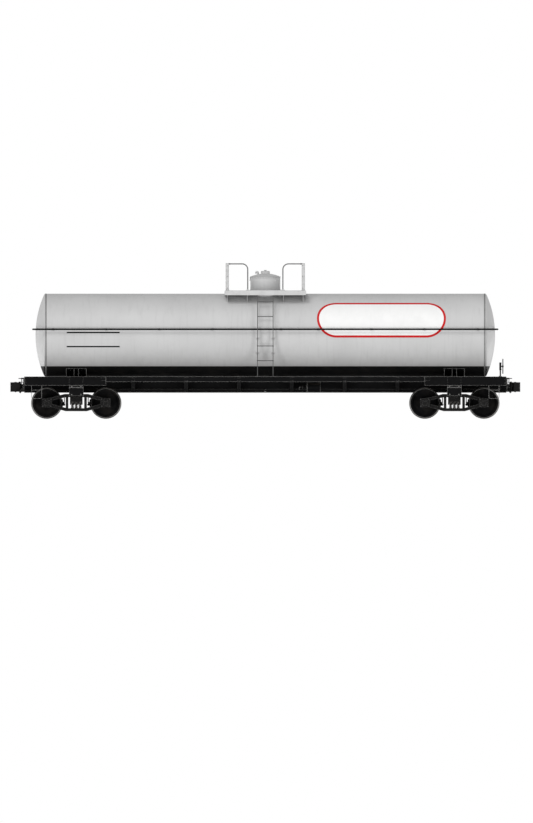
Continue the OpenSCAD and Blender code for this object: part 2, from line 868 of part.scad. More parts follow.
module brake_reservoir() {
    color([0.06, 0.06, 0.06]) {
        rod_x(150, [-1950, -1260], brake_y, brake_z);
        rod_x(158, [-1610, -1590], brake_y, brake_z);
        for (x = [-1980, -1260]) rod_x(95, [x, x + 30], brake_y, brake_z);
        for (x = [-1850, -1360]) arm(x, brake_y - 120);
    }
}

module brake_valve() {
    color([0.06, 0.06, 0.06]) {
        block([-120, 120], [brake_y - 150, brake_y + 60], [brake_z - 90, brake_z + 90]);
        rod_x(62, [-190, 190], brake_y - 40, brake_z);
        rod_z(48, 0, brake_y - 40, [brake_z + 90, brake_z + 140]);
        arm(0, brake_y - 140);
    }
}

// The lever at the cylinder and the rods that run from it to both bolsters
module brake_rods() {
    rod_end = truck_x - bolster_half;
    color([0.06, 0.06, 0.06]) {
        rod_x(brake_rod_r, [-rod_end, rod_end], brake_rod_y, brake_rod_z);
        block([955, 985], [-brake_y - 40, brake_rod_y + 30], [brake_z - 8, brake_z + 8]);
        block([955, 985], [brake_rod_y - 20, brake_rod_y + 20], [brake_rod_z - 20, brake_z]);
    }
}

// Two straight runs joined by a crossing through the centre sill
module train_pipe() {
    run_end = car_end + striker_t;
    color([0.06, 0.06, 0.06]) translate([0, 0, pipe_z]) {
        for (turn = [0, 180]) rotate([0, 0, turn]) {
            rod_x(pipe_r, [pipe_bend, run_end], pipe_y, 0);
            translate([pipe_bend, pipe_y - pipe_bend, 0]) rotate([0, 0, 90]) rotate_extrude(angle = 90)
                translate([pipe_bend, 0]) circle(r = pipe_r);
        }
        rod_y(pipe_r, 0, [pipe_bend - pipe_y, pipe_y - pipe_bend], 0);
    }
}

// A cock on each end of the pipe, its outlet turned down and outwards
module angle_cocks() {
    x = car_end + striker_t;
    color([0.06, 0.06, 0.06]) both_ends() translate([x, pipe_y, pipe_z]) {
        difference() {
            union() {
                rod_x(cock_r, [0, 80], 0, 0);
                translate([60, 0, 0]) rotate([0, 150, 0]) cylinder(r = 27, h = 75);
                rod_z(14, 36, 0, [0, 62]);
                block([-30, 44], [-9, 9], [54, 64]);
            }
            translate([60, 0, 0]) rotate([0, 150, 0]) translate([0, 0, 35]) cylinder(r = 17, h = 41);
        }
    }
}

module hand_brake_stand() {
    back = handbrake_x - 60;
    color([0.06, 0.06, 0.06]) difference() {
        union() {
            block([back, handbrake_x], [handbrake_y - 80, handbrake_y + 80],
                [handbrake_z - 110, handbrake_z + 110]);
            block([back + 10, handbrake_x - 10], [handbrake_y - 35, handbrake_y + 35],
                [deck_z, handbrake_z - 110]);
            block([back - 20, handbrake_x + 20], [handbrake_y - 70, handbrake_y + 70], [deck_z, deck_z + 12]);
        }
        rod_x(handbrake_shaft_r + turn_gap, [handbrake_x - 40, handbrake_x + 1], handbrake_y, handbrake_z);
    }
}

module hand_brake_wheel() {
    rim_x = handbrake_x + 42;
    color([0.06, 0.06, 0.06]) {
        rod_x(handbrake_shaft_r, [handbrake_x - 40 + seat_gap, rim_x + 25], handbrake_y, handbrake_z);
        rod_x(38, [rim_x - 18, rim_x + 18], handbrake_y, handbrake_z);
        translate([rim_x, handbrake_y, handbrake_z]) {
            rotate([0, 90, 0]) rotate_extrude() translate([handbrake_r, 0]) circle(r = 14);
            for (turn = [0 : 72 : 288]) rotate([turn, 0, 0]) rod_z(9, 0, 0, [20, handbrake_r - 4]);
        }
    }
}

// ---- Couplers ----

// The shank and head of a coupler, with its guard arm at +Y
module coupler() {
    half = shank_w / 2;
    head_back = pull_x - 230;
    throat = pull_x - 105;
    color([0.1, 0.09, 0.08]) difference() {
        union() {
            block([pivot_x - 70, head_back + 1], [-half, half],
                [coupler_z - shank_h / 2, coupler_z + shank_h / 2]);
            translate([pivot_x - 70, 0, coupler_z - shank_h / 2]) cylinder(r = half, h = shank_h);
            translate([0, 0, coupler_z - head_h / 2]) linear_extrude(height = head_h) translate([pull_x, 0])
                polygon([[-230, -110], [-230, 120], [-190, 165], [-20, 190], [75, 205], [75, 175], [-40, 110],
                    [-105, 72], [-112, -20], [-160, -60], [-160, -150]]);
            for (side = [-1, 1]) translate([pull_x, 0, coupler_z + side * (head_h / 2 - 8)])
                linear_extrude(height = 16, center = true) {
                    polygon([[-200, -150], [-200, 0], [-110, 0], [-90, -60], [-60, -60], [-60, -150]]);
                    translate([knuckle_u, knuckle_v]) circle(r = 45);
                }
        }
        rod_z(draft_pin_r + turn_gap, pivot_x, 0, [coupler_z - shank_h, coupler_z + shank_h]);
        rod_z(knuckle_pin_r, pull_x + knuckle_u, knuckle_v, [coupler_z - head_h, coupler_z + head_h]);
    }
    color([0.1, 0.09, 0.08])
        rod_z(knuckle_pin_r, pull_x + knuckle_u, knuckle_v,
            [coupler_z - head_h / 2 - 12, coupler_z + head_h / 2 + 6]);
}

module knuckle() {
    color([0.16, 0.13, 0.11]) difference() {
        translate([0, 0, coupler_z - knuckle_h / 2]) linear_extrude(height = knuckle_h)
            translate([pull_x, 0]) {
                translate([knuckle_u, knuckle_v]) circle(r = knuckle_hub_r);
                polygon([[-90, -164], [-20, -150], [40, -110], [66, -50], [66, 12], [44, 32], [6, 32],
                    [-4, 10], [-10, -30], [-40, -52], [-80, -44]]);
            }
        rod_z(knuckle_pin_r + turn_gap, pull_x + knuckle_u, knuckle_v,
            [coupler_z - knuckle_h, coupler_z + knuckle_h]);
    }
}

module a_coupler() {
    rotate([0, 0, 180]) coupler();
}

module b_coupler() {
    coupler();
}

module a_knuckle() {
    rotate([0, 0, 180]) knuckle();
}

module b_knuckle() {
    knuckle();
}

// ---- Trucks ----

// The cast frame beside the wheels, with its two triangular openings and the bolster's opening
module side_frame() {
    inner = journal_y - frame_t / 2;
    difference() {
        union() {
            slab_y(inner, frame_t) difference() {
                both_ways_flat() polygon([[0, frame_low], [300, frame_low], [axle_x - box_half, 335],
                    [axle_x + box_half, 335], [axle_x + box_half, 570], [axle_x - box_half + 20, 600],
                    [330, frame_high], [0, frame_high]]);
                both_ways_flat() polygon([[300, 305], [axle_x - box_half - 20, 415],
                    [axle_x - box_half - 20, 525], [300, 612]]);
                translate([-column_x, spring_z]) square([2 * column_x, 612 - spring_z]);
            }
            both_ways() block([axle_x - box_half, axle_x + box_half], [journal_y - 127, journal_y + 127],
                [axle_z - 115, axle_z + 130]);
        }
        both_ways() rod_y(journal_r + turn_gap, axle_x, [journal_y - 128, journal_end + 8], axle_z);
    }
}

// A flat outline and its mirror image across X
module both_ways_flat() {
    children();
    mirror([1, 0]) children();
}

module side_frames() {
    color([0.04, 0.04, 0.04]) both_sides() side_frame();
}

// The bolster that the car turns on, with its bowl and side bearings
module truck_bolster() {
    end_y = journal_y + frame_t / 2 + 25;
    rest = spring_top + 160;
    color([0.05, 0.05, 0.05]) {
        difference() {
            slab_x(-180, 360) polygon([[-end_y, spring_top], [-720, spring_top], [-450, 400], [450, 400],
                [720, spring_top], [end_y, spring_top], [end_y, 600], [880, 600], [820, rest], [-820, rest],
                [-880, 600], [-end_y, 600]]);
            block([-155, 155], [-540, 540], [425, rest - 25]);
        }
        difference() {
            translate([0, 0, rest - 1]) cylinder(r = centre_plate_r + 40, h = centre_plate_z + 22 - rest);
            translate([0, 0, centre_plate_z]) cylinder(r = centre_plate_r + move_gap, h = 40);
        }
        both_sides() block([-70, 70], [side_bearing_y - 40, side_bearing_y + 40], [rest - 1, side_bearing_z]);
    }
}

module truck_springs() {
    color([0.07, 0.07, 0.07]) both_sides() for (x = [-1, 0, 1], y = [-1, 1])
        translate([x * (2 * spring_r + 12), journal_y + y * (spring_r + 4), spring_z])
            cylinder(r = spring_r, h = spring_top - spring_z);
}

// A beam across each inner side of the wheels, with its shoes and the hangers that carry it
module brake_beam() {
    x = axle_x - tread_d / 2 - shoe_gap - shoe_t;
    shoe = [wheel_back + 40, wheel_back + 132];
    color([0.05, 0.05, 0.05]) {
        rod_y(30, x - 30, [-shoe[1], shoe[1]], 400);
        both_sides() {
            intersection() {
                difference() {
                    rod_y(tread_d / 2 + shoe_gap + shoe_t, axle_x, shoe, axle_z);
                    rod_y(tread_d / 2 + shoe_gap, axle_x, [shoe[0] - 1, shoe[1] + 1], axle_z);
                }
                block([x - 60, x + 80], shoe, [300, 560]);
            }
            block([x - 45, x + 6], [shoe[0] + 20, shoe[0] + 70], [370, 480]);
            block([x - 45, x - 20], [shoe[0] + 30, shoe[0] + 60], [400, 660]);
            block([x - 45, x - 20], [shoe[0] + 30, journal_y - frame_t / 2], [630, 660]);
        }
    }
}

module brake_beams() {
    both_ways() brake_beam();
}

module axle() {
    color([0.12, 0.11, 0.1]) {
        rod_y(axle_mid_r, 0, [30 - wheel_back, wheel_back - 30], axle_z);
        both_sides() {
            rod_y(seat_r, 0, [wheel_back - 40, wheel_back + 175], axle_z);
            rod_y(journal_r, 0, [wheel_back + 174, journal_end], axle_z);
        }
    }
}

// Half section of a wheel: its radius, and its distance outwards from the rim's back
module wheel_section() {
    tread = tread_d / 2;
    rim_in = tread - 64;
    bore = seat_r + seat_gap;
    polygon([[bore, -10], [132, -10], [138, 62], [rim_in, 46], [rim_in, 0], [tread + 13, 0],
        [tread + flange_h, 12], [tread + flange_h, 20], [tread + 13, 29], [tread + 4, 35], [tread + 1, 45],
        [tread - 3, rim_w - 8], [tread - 9, rim_w], [rim_in, rim_w], [rim_in, 76], [138, 94],
        [132, 168], [bore, 168]]);
}

module wheels() {
    color([0.03, 0.03, 0.03]) both_sides() translate([0, wheel_back, axle_z]) rotate([-90, 0, 0])
        rotate_extrude() wheel_section();
}

module at_a_truck() {
    translate([-truck_x, 0, 0]) children();
}

module at_b_truck() {
    translate([truck_x, 0, 0]) children();
}

module at_axle(n) {
    translate([(n < 3 ? -truck_x : truck_x) + (n % 2 == 1 ? -axle_x : axle_x), 0, 0]) children();
}

tank_barrel();
a_tank_head();
b_tank_head();
valve_housing();
manway_plate();
housing_valves();
housing_cover();
cover_fittings();
top_platform();
platform_gussets();
platform_railings();
left_ladder();
right_ladder();
side_handrails();
end_handrails();
handrail_brackets();
centre_sill();
end_sills();
end_side_channels();
end_decks();
running_boards();
edge_channels();
cross_bearers();
body_bolsters();
centre_plates();
tank_saddles();
tank_anchor();
jacking_brackets();
draft_gears();
sill_steps();
grab_irons();
uncoupling_levers();
brake_cylinder();
brake_reservoir();
brake_valve();
brake_rods();
train_pipe();
angle_cocks();
hand_brake_stand();
hand_brake_wheel();
a_coupler();
b_coupler();
a_knuckle();
b_knuckle();
at_a_truck() side_frames();  // a_side_frames
at_b_truck() side_frames();  // b_side_frames
at_a_truck() truck_bolster();  // a_truck_bolster
at_b_truck() truck_bolster();  // b_truck_bolster
at_a_truck() truck_springs();  // a_truck_springs
at_b_truck() truck_springs();  // b_truck_springs
at_a_truck() brake_beams();  // a_brake_beams
at_b_truck() brake_beams();  // b_brake_beams
at_axle(1) axle();  // axle_1
at_axle(2) axle();  // axle_2
at_axle(3) axle();  // axle_3
at_axle(4) axle();  // axle_4
at_axle(1) wheels();  // wheels_1
at_axle(2) wheels();  // wheels_2
at_axle(3) wheels();  // wheels_3
at_axle(4) wheels();  // wheels_4
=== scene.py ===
"""Looks of a railway tank car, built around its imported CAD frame.

Metres, +Z up. The car lies along X: its A end at -X, its B end at +X, its near side at -Y.
"""
import math
import random

import bmesh
import bpy
from mathutils import Matrix, Vector


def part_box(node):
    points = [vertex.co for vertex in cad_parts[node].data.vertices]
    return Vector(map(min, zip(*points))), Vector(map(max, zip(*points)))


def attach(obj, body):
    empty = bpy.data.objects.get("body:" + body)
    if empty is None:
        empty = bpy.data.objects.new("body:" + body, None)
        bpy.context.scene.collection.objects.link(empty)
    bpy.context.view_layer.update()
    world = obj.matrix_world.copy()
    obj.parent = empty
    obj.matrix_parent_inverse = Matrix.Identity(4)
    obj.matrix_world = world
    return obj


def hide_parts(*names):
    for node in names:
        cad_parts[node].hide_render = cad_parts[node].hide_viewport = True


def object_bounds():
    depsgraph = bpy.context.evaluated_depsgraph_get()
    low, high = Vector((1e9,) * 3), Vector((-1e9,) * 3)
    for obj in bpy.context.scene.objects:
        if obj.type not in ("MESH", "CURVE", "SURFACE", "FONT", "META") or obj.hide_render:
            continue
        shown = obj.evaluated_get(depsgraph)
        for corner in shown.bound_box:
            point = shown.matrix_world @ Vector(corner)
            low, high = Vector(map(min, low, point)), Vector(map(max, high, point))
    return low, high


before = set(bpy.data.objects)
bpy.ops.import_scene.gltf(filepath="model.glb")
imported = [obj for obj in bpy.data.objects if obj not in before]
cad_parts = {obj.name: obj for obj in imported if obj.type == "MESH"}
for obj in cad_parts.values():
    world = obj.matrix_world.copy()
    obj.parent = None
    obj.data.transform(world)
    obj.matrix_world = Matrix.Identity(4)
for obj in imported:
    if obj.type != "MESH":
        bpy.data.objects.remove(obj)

cad_low, cad_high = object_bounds()

# Places taken from the frame

barrel_low, barrel_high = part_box("tank_barrel")
TANK_R = (barrel_high.z - barrel_low.z) / 2
TANK_Z = (barrel_high.z + barrel_low.z) / 2
BARREL_END = barrel_high.x
DECK_Z = barrel_low.z
CAR_SIDE = cad_high.y
BODY, COVER = "car_body", "cover"
TRUCKS = {"truck_a": -1, "truck_b": 1}
TRUCK_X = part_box("b_truck_bolster")[0].lerp(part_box("b_truck_bolster")[1], 0.5).x


# Finishes

BLACK_BAND_TOP = 1.492      # the tank is black below this height
POST_X = 1.034              # the platform's corner posts start this far from the middle
GREY = (0.560, 0.560, 0.560, 1)
PLATFORM_GREY = (0.585, 0.585, 0.585, 1)
RAIL_GREY = (0.150, 0.150, 0.150, 1)
LADDER_GREY = (0.085, 0.085, 0.085, 1)
BLACK = (0.0032, 0.0032, 0.0035, 1)
HANDRAIL_BLACK = (0.0035, 0.0035, 0.0035, 1)
# Lighter grey for the edges of dark parts: partly paint worn to the metal, partly a painted highlight along
# the edges.
WORN_AND_HIGHLIT_EDGE = (0.370, 0.365, 0.355, 1)
ROAD_DUST = (0.085, 0.072, 0.058, 1)
SIGN_RED = (0.560, 0.004, 0.004, 1)
SIGN_WHITE = (0.880, 0.880, 0.875, 1)


class Finish:
    """A material, its nodes made one call at a time."""

    def __init__(self, name, **shader_values):
        self.material = bpy.data.materials.new(name)
        self.material.use_nodes = True
        self.nodes = self.material.node_tree.nodes
        self.links = self.material.node_tree.links
        self.shader = self.nodes["Principled BSDF"]
        self.feed(self.shader, shader_values)
        self.place = self.make("TexCoord").outputs["Object"]

    def feed(self, node, inputs):
        """Gives each named input its value, or the socket to take it from."""
        for name, value in inputs.items():
            socket = node.inputs[name if isinstance(name, int) else name.replace("_", " ")]
            if isinstance(value, bpy.types.NodeSocket):
                self.links.new(value, socket)
            else:
                socket.default_value = value

    def make(self, kind, settings=None, **inputs):
        """A node of a kind, with its settings and its inputs."""
        node = self.nodes.new("ShaderNode" + kind)
        for name, value in (settings or {}).items():
            setattr(node, name, value)
        self.feed(node, inputs)
        return node

    def calc(self, operation, a, b=0.0):
        """The result of a sum on two values."""
        node = self.make("Math", {"operation": operation})
        self.feed(node, {0: a, 1: b})
        return node.outputs[0]

    def axis(self, name):
        """The x, y or z of the point in the car's frame."""
        return self.make("SeparateXYZ", Vector=self.place).outputs[name]

    def noise(self, scale, detail=3.0, stretch=(1, 1, 1), roughness=0.55):
        """Mottling of about 1/scale metres, finer along the axes with the larger stretch."""
        spot = self.make("Mapping", Vector=self.place, Scale=stretch).outputs[0]
        node = self.make("TexNoise", Vector=spot, Scale=scale, Detail=detail, Roughness=roughness)
        return node.outputs["Fac"]

    def remap(self, value, low, high, to_low=0.0, to_high=1.0):
        """The value, moved from one range to another and held inside it."""
        node = self.make("MapRange", Value=value, From_Min=low, From_Max=high,
                         To_Min=to_low, To_Max=to_high)
        return node.outputs[0]

    def mix(self, factor, a, b):
        """Colour a where the factor is 0, and b where it is 1."""
        node = self.make("Mix", {"data_type": "RGBA"})
        self.feed(node, {"Factor": factor, 6: a, 7: b})
        return node.outputs[2]

    def edge(self, radius):
        """1 along outer and inner edges, 0 elsewhere."""
        rounded = self.make("Bevel", {"samples": 4}, Radius=radius).outputs[0]
        true = self.make("NewGeometry").outputs["Normal"]
        dot = self.make("VectorMath", {"operation": "DOT_PRODUCT"})
        self.feed(dot, {0: rounded, 1: true})
        return self.remap(dot.outputs["Value"], 0.97, 0.80)

    def finish(self, colour, roughness, height=None, strength=0.3, distance=0.002):
        """Puts colour, roughness and bump on the shader."""
        self.feed(self.shader, {"Base_Color": colour, "Roughness": roughness})
        if height is not None:
            bump = self.make("Bump", Height=height, Strength=strength, Distance=distance)
            self.feed(self.shader, {"Normal": bump.outputs[0]})
        return self.material

    def facing_up(self):
        """1 on level tops, 0 on upright sides."""
        normal = self.make("NewGeometry").outputs["Normal"]
        return self.remap(self.make("SeparateXYZ", Vector=normal).outputs["Z"], 0.35, 0.95)


def shade(colour, amount):
    """The colour times an amount."""
    return tuple(min(c * amount, 1) for c in colour[:3]) + (1,)


def tank_paint(name, grey):
    """Enamel in the tank's two colours, rain-streaked, with dust low down."""
    f = Finish(name, Specular_IOR_Level=0.30)
    cloud, streak = f.noise(0.8, 4), f.noise(2.6, 4, stretch=(4.5, 1.0, 0.22))
    tone = f.mix(f.remap(cloud, 0.35, 0.68), shade(grey, 1.03), shade(grey, 0.955))
    tone = f.mix(f.remap(streak, 0.53, 0.78, 0.0, 0.34), tone, shade(grey, 0.76))
    low = f.remap(f.axis("Z"), BLACK_BAND_TOP + 0.75, BLACK_BAND_TOP)
    grime = f.calc("MULTIPLY", f.remap(f.noise(5.0, 5), 0.44, 0.72, 0.0, 0.18), low)
    tone = f.mix(grime, tone, shade(grey, 0.62))
    tone = f.mix(f.remap(f.noise(70, 2), 0.66, 0.76, 0.0, 0.30), tone, shade(grey, 0.62))
    tone = f.mix(f.calc("MULTIPLY", f.edge(0.014), 0.80), tone, shade(grey, 0.40))
    dusty = f.mix(f.remap(f.noise(3.5, 5), 0.45, 0.75, 0.0, 0.12), BLACK, ROAD_DUST)
    band = f.remap(f.axis("Z"), BLACK_BAND_TOP + 0.003, BLACK_BAND_TOP - 0.003)
    rough = f.calc("ADD", f.remap(cloud, 0.30, 0.70, 0.34, 0.50), f.calc("MULTIPLY", band, 0.28))
    height = f.calc("ADD", f.noise(1.1, 2), f.calc("MULTIPLY", f.noise(90, 2), 0.04))
    return f.finish(f.mix(band, tone, dusty), rough, height, 0.25, 0.012)


def worn_paint(name, colour, wear_and_highlight_tone=WORN_AND_HIGHLIT_EDGE, radius=0.014, dust=0.35, rough=0.46):
    """Paint on steel: mottled, dusty where it lies flat, its edges tinted partly by chips to the metal and
    partly by a painted highlight.
    """
    f = Finish(name, Specular_IOR_Level=0.07)
    mottle, chips = f.noise(6, 4), f.noise(45, 3)
    tone = f.mix(f.remap(mottle, 0.32, 0.68), shade(colour, 0.90), shade(colour, 1.25))
    lying = f.calc("MULTIPLY", f.facing_up(), f.remap(mottle, 0.35, 0.65, 0.2, 1.0))
    tone = f.mix(f.calc("MULTIPLY", lying, dust), tone, ROAD_DUST)
    # Edges take a tone of their own: chips to the metal, and a painted highlight along every edge where that
    # tone is lighter.
    wear_and_highlight_mask = f.calc("MULTIPLY", f.edge(radius), f.remap(chips, 0.28, 0.52, 0.40, 1.0))
    gloss = f.remap(mottle, 0.30, 0.70, rough - 0.07, rough + 0.12)
    return f.finish(f.mix(wear_and_highlight_mask, tone, wear_and_highlight_tone), gloss, f.noise(150, 2), 0.20, 0.0010)


def railing_paint(name, pipe, post, post_x):
    """Dark pipes, and corner posts in the platform's paint with worn edges."""
    f = Finish(name, Specular_IOR_Level=0.12)
    mottle = f.noise(9, 4)
    dark = f.mix(f.remap(mottle, 0.32, 0.68), shade(pipe, 0.85), shade(pipe, 1.25))
    pale = f.mix(f.remap(mottle, 0.32, 0.68), shade(post, 0.80), shade(post, 1.00))
    pale = f.mix(f.edge(0.020), pale, shade(pipe, 0.60))
    on_post = f.remap(f.calc("ABSOLUTE", f.axis("X")), post_x - 0.001, post_x)
    gloss = f.remap(mottle, 0.3, 0.7, 0.40, 0.58)
    return f.finish(f.mix(on_post, dark, pale), gloss, f.noise(150, 2), 0.20, 0.001)


def tread_paint(name, colour):
    """Platform paint over raised grip bars set in alternate directions, worn on their crowns."""
    f = Finish(name, Specular_IOR_Level=0.30)
    x, y = f.axis("X"), f.axis("Y")
    pitch = 2 * math.pi / 0.055
    across = f.calc("SINE", f.calc("MULTIPLY", f.calc("ADD", x, y), pitch))
    along = f.calc("SINE", f.calc("MULTIPLY", f.calc("SUBTRACT", x, y), pitch))
    grip = f.remap(f.calc("MULTIPLY", across, along), 0.35, 0.80)
    crown = f.calc("MULTIPLY", grip, f.facing_up())
    mottle = f.noise(5, 4)
    tone = f.mix(f.remap(mottle, 0.35, 0.68), shade(colour, 1.02), shade(colour, 0.90))
    scuffs = f.calc("MULTIPLY", crown, f.remap(f.noise(2.2, 3), 0.45, 0.62))
    tone = f.mix(f.calc("MULTIPLY", scuffs, 0.6), tone, shade(colour, 0.55))
    tone = f.mix(f.calc("MULTIPLY", f.edge(0.008), 0.8), tone, shade(colour, 0.42))
    return f.finish(tone, f.remap(mottle, 0.3, 0.7, 0.40, 0.58), crown, 0.6, 0.003)


def boards(name, stretch):
    """Weathered oak: grain drawn out along the board, each board a tone of its own."""
    f = Finish(name, Specular_IOR_Level=0.15)
    grain, weather = f.noise(9, 6, stretch, 0.65), f.noise(2.5, 3)
    board = f.make("NewGeometry").outputs["Random Per Island"]
    tone = f.mix(f.remap(grain, 0.34, 0.64), (0.030, 0.024, 0.019, 1), (0.125, 0.108, 0.088, 1))
    tone = f.mix(f.remap(board, 0.0, 1.0, 0.0, 0.5), tone, (0.060, 0.056, 0.050, 1))
    tone = f.mix(f.remap(weather, 0.48, 0.70, 0.0, 0.6), tone, (0.020, 0.018, 0.016, 1))
    tone = f.mix(f.calc("MULTIPLY", f.edge(0.006), 0.6), tone, (0.200, 0.180, 0.150, 1))
    return f.finish(tone, f.remap(grain, 0.3, 0.7, 0.85, 0.62), grain, 0.7, 0.004)


def bare_metal(name, colour, rough, grain=120, strength=0.25, wear_and_highlight_tone=WORN_AND_HIGHLIT_EDGE, metallic=0.0):
    """Cast or forged metal: sandy skin, stains in its hollows, edges made brighter, partly by rubbing and
    partly as a painted highlight.
    """
    f = Finish(name, Metallic=metallic, Specular_IOR_Level=0.14)
    skin, stain = f.noise(grain, 4, roughness=0.7), f.noise(4.5, 5)
    tone = f.mix(f.remap(stain, 0.36, 0.70), shade(colour, 1.2), shade(colour, 0.65))
    tone = f.mix(f.calc("MULTIPLY", f.facing_up(), 0.22), tone, ROAD_DUST)
    # Brighter edges: partly rubbed metal, partly a painted highlight.
    wear_and_highlight_mask = f.calc("MULTIPLY", f.edge(0.007), f.remap(f.noise(38, 3), 0.34, 0.56, 0.15, 0.9))
    gloss = f.remap(skin, 0.3, 0.7, rough - 0.06, rough + 0.14)
    return f.finish(f.mix(wear_and_highlight_mask, tone, wear_and_highlight_tone), gloss, skin, strength, 0.0015)


def wheel_steel(name):
    """Wheels: sooty plates, a polished tread, and a grey ring at the rim's front edge, partly rubbed wear and
    partly a painted highlight round the wheel.
    """
    f = Finish(name, Specular_IOR_Level=0.05)
    fold = f.calc("ABSOLUTE", f.calc("SUBTRACT", f.calc("ABSOLUTE", f.axis("X")), TRUCK_X))
    from_axle = f.calc("SUBTRACT", fold, HALF_WHEELBASE)
    rise = f.calc("SUBTRACT", f.axis("Z"), AXLE_Z)
    square = f.calc("ADD", f.calc("MULTIPLY", from_axle, from_axle), f.calc("MULTIPLY", rise, rise))
    radius = f.calc("SQRT", square)
    soot, grit = f.noise(7, 5), f.noise(140, 3)
    tone = f.mix(f.remap(soot, 0.35, 0.68), shade(BLACK, 0.7), shade(BLACK, 1.8))
    tone = f.mix(f.remap(f.noise(3, 4), 0.50, 0.75, 0.0, 0.12), tone, ROAD_DUST)
    # A grey ring just inside the tread: partly rubbed wear, partly a painted highlight round the wheel's
    # edge.
    rim_edge = f.remap(radius, TREAD_R - 0.014, TREAD_R - 0.008)
    tone = f.mix(f.calc("MULTIPLY", rim_edge, f.remap(soot, 0.3, 0.6, 0.6, 1.0)), tone, WORN_AND_HIGHLIT_EDGE)
    tread = f.remap(radius, TREAD_R - 0.0035, TREAD_R - 0.0015)
    tone = f.mix(tread, tone, (0.340, 0.330, 0.320, 1))
    f.feed(f.shader, {"Metallic": f.calc("MULTIPLY", tread, 0.9)})
    rough = f.remap(tread, 0.0, 1.0, 0.62, 0.28)
    return f.finish(tone, rough, grit, 0.20, 0.0010)


def enamel(name, colour, mottled):
    """Sign paint: an even colour, a little weathered."""
    f = Finish(name, Specular_IOR_Level=0.30)
    weather = f.noise(3.0, 5)
    streak = f.noise(3.2, 4, stretch=(5.0, 1.0, 0.3))
    tone = f.mix(f.remap(weather, 0.38, 0.70), colour, shade(colour, mottled))
    tone = f.mix(f.remap(streak, 0.56, 0.80, 0.0, 0.20), tone, shade(colour, 0.72))
    return f.finish(tone, f.remap(weather, 0.3, 0.7, 0.34, 0.48), f.noise(120, 2), 0.10, 0.0008)


axle_low, axle_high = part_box("axle_4")
wheel_low, wheel_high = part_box("wheels_4")
AXLE_Z = (axle_low.z + axle_high.z) / 2
HALF_WHEELBASE = (axle_low.x + axle_high.x) / 2 - TRUCK_X
FLANGE_H = 0.0254
TREAD_R = (wheel_high.z - wheel_low.z) / 2 - FLANGE_H

# Edge tones given to the dark finishes below are partly wear and partly a painted highlight along the edges.
FINISHES = {
    "tank_paint": tank_paint("tank_paint", GREY),
    "platform_paint": tread_paint("platform_paint", PLATFORM_GREY),
    "railing_paint": railing_paint("railing_paint", RAIL_GREY, PLATFORM_GREY, POST_X),
    "ladder_paint": worn_paint("ladder_paint", LADDER_GREY, shade(LADDER_GREY, 0.6), 0.004, 0.10),
    "rail_paint": worn_paint("rail_paint", HANDRAIL_BLACK, shade(WORN_AND_HIGHLIT_EDGE, 0.4), 0.003, 0.06, 0.42),
    "frame_paint": worn_paint("frame_paint", BLACK),
    "underframe_paint": worn_paint("underframe_paint", BLACK, shade(WORN_AND_HIGHLIT_EDGE, 0.12)),
    "boards": boards("boards", (0.35, 6.0, 6.0)),
    "cross_boards": boards("cross_boards", (6.0, 0.35, 6.0)),
    "manway_steel": bare_metal("manway_steel", (0.110, 0.108, 0.105, 1), 0.48, metallic=0.6),
    "valve_metal": bare_metal("valve_metal", (0.330, 0.210, 0.085, 1), 0.36, 90, 0.15,
                              (0.560, 0.400, 0.190, 1), 0.85),
    "cast_steel": bare_metal("cast_steel", (0.0065, 0.0062, 0.0060, 1), 0.58, strength=0.45,
                             wear_and_highlight_tone=shade(WORN_AND_HIGHLIT_EDGE, 0.55)),
    "spring_steel": bare_metal("spring_steel", (0.022, 0.019, 0.017, 1), 0.45, 160, 0.2),
    "wheel_steel": wheel_steel("wheel_steel"),
    "bright_steel": bare_metal("bright_steel", (0.270, 0.265, 0.260, 1), 0.35, 200, 0.1, metallic=0.8),
    "seam_paint": worn_paint("seam_paint", (0.22, 0.22, 0.22, 1), (0.30, 0.30, 0.29, 1), 0.003, 0.1),
    "sign_red": enamel("sign_red", SIGN_RED, 0.86),
    "sign_white": enamel("sign_white", SIGN_WHITE, 0.95),
}
OWN_FINISH = {"platform_railings": "railing_paint", "left_ladder": "ladder_paint",
              "right_ladder": "ladder_paint", "cross_bearers": "underframe_paint"}

for node_name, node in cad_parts.items():
    for material_slot in node.material_slots:
        finish_name = OWN_FINISH.get(node_name, material_slot.material.name)
        material_slot.material = FINISHES[finish_name]


# Shapes

HALF_TURN = Matrix.Rotation(math.pi, 4, "Z")
CROSSWISE = Matrix.Diagonal((1, -1, 1, 1))
LENGTHWISE = Matrix.Diagonal((-1, 1, 1, 1))


def facing(place, outward):
    """The placing of a shape made along +Z so that it stands at a point and faces outward."""
    return Matrix.Translation(place) @ Vector(outward).to_track_quat("Z", "Y").to_matrix().to_4x4()


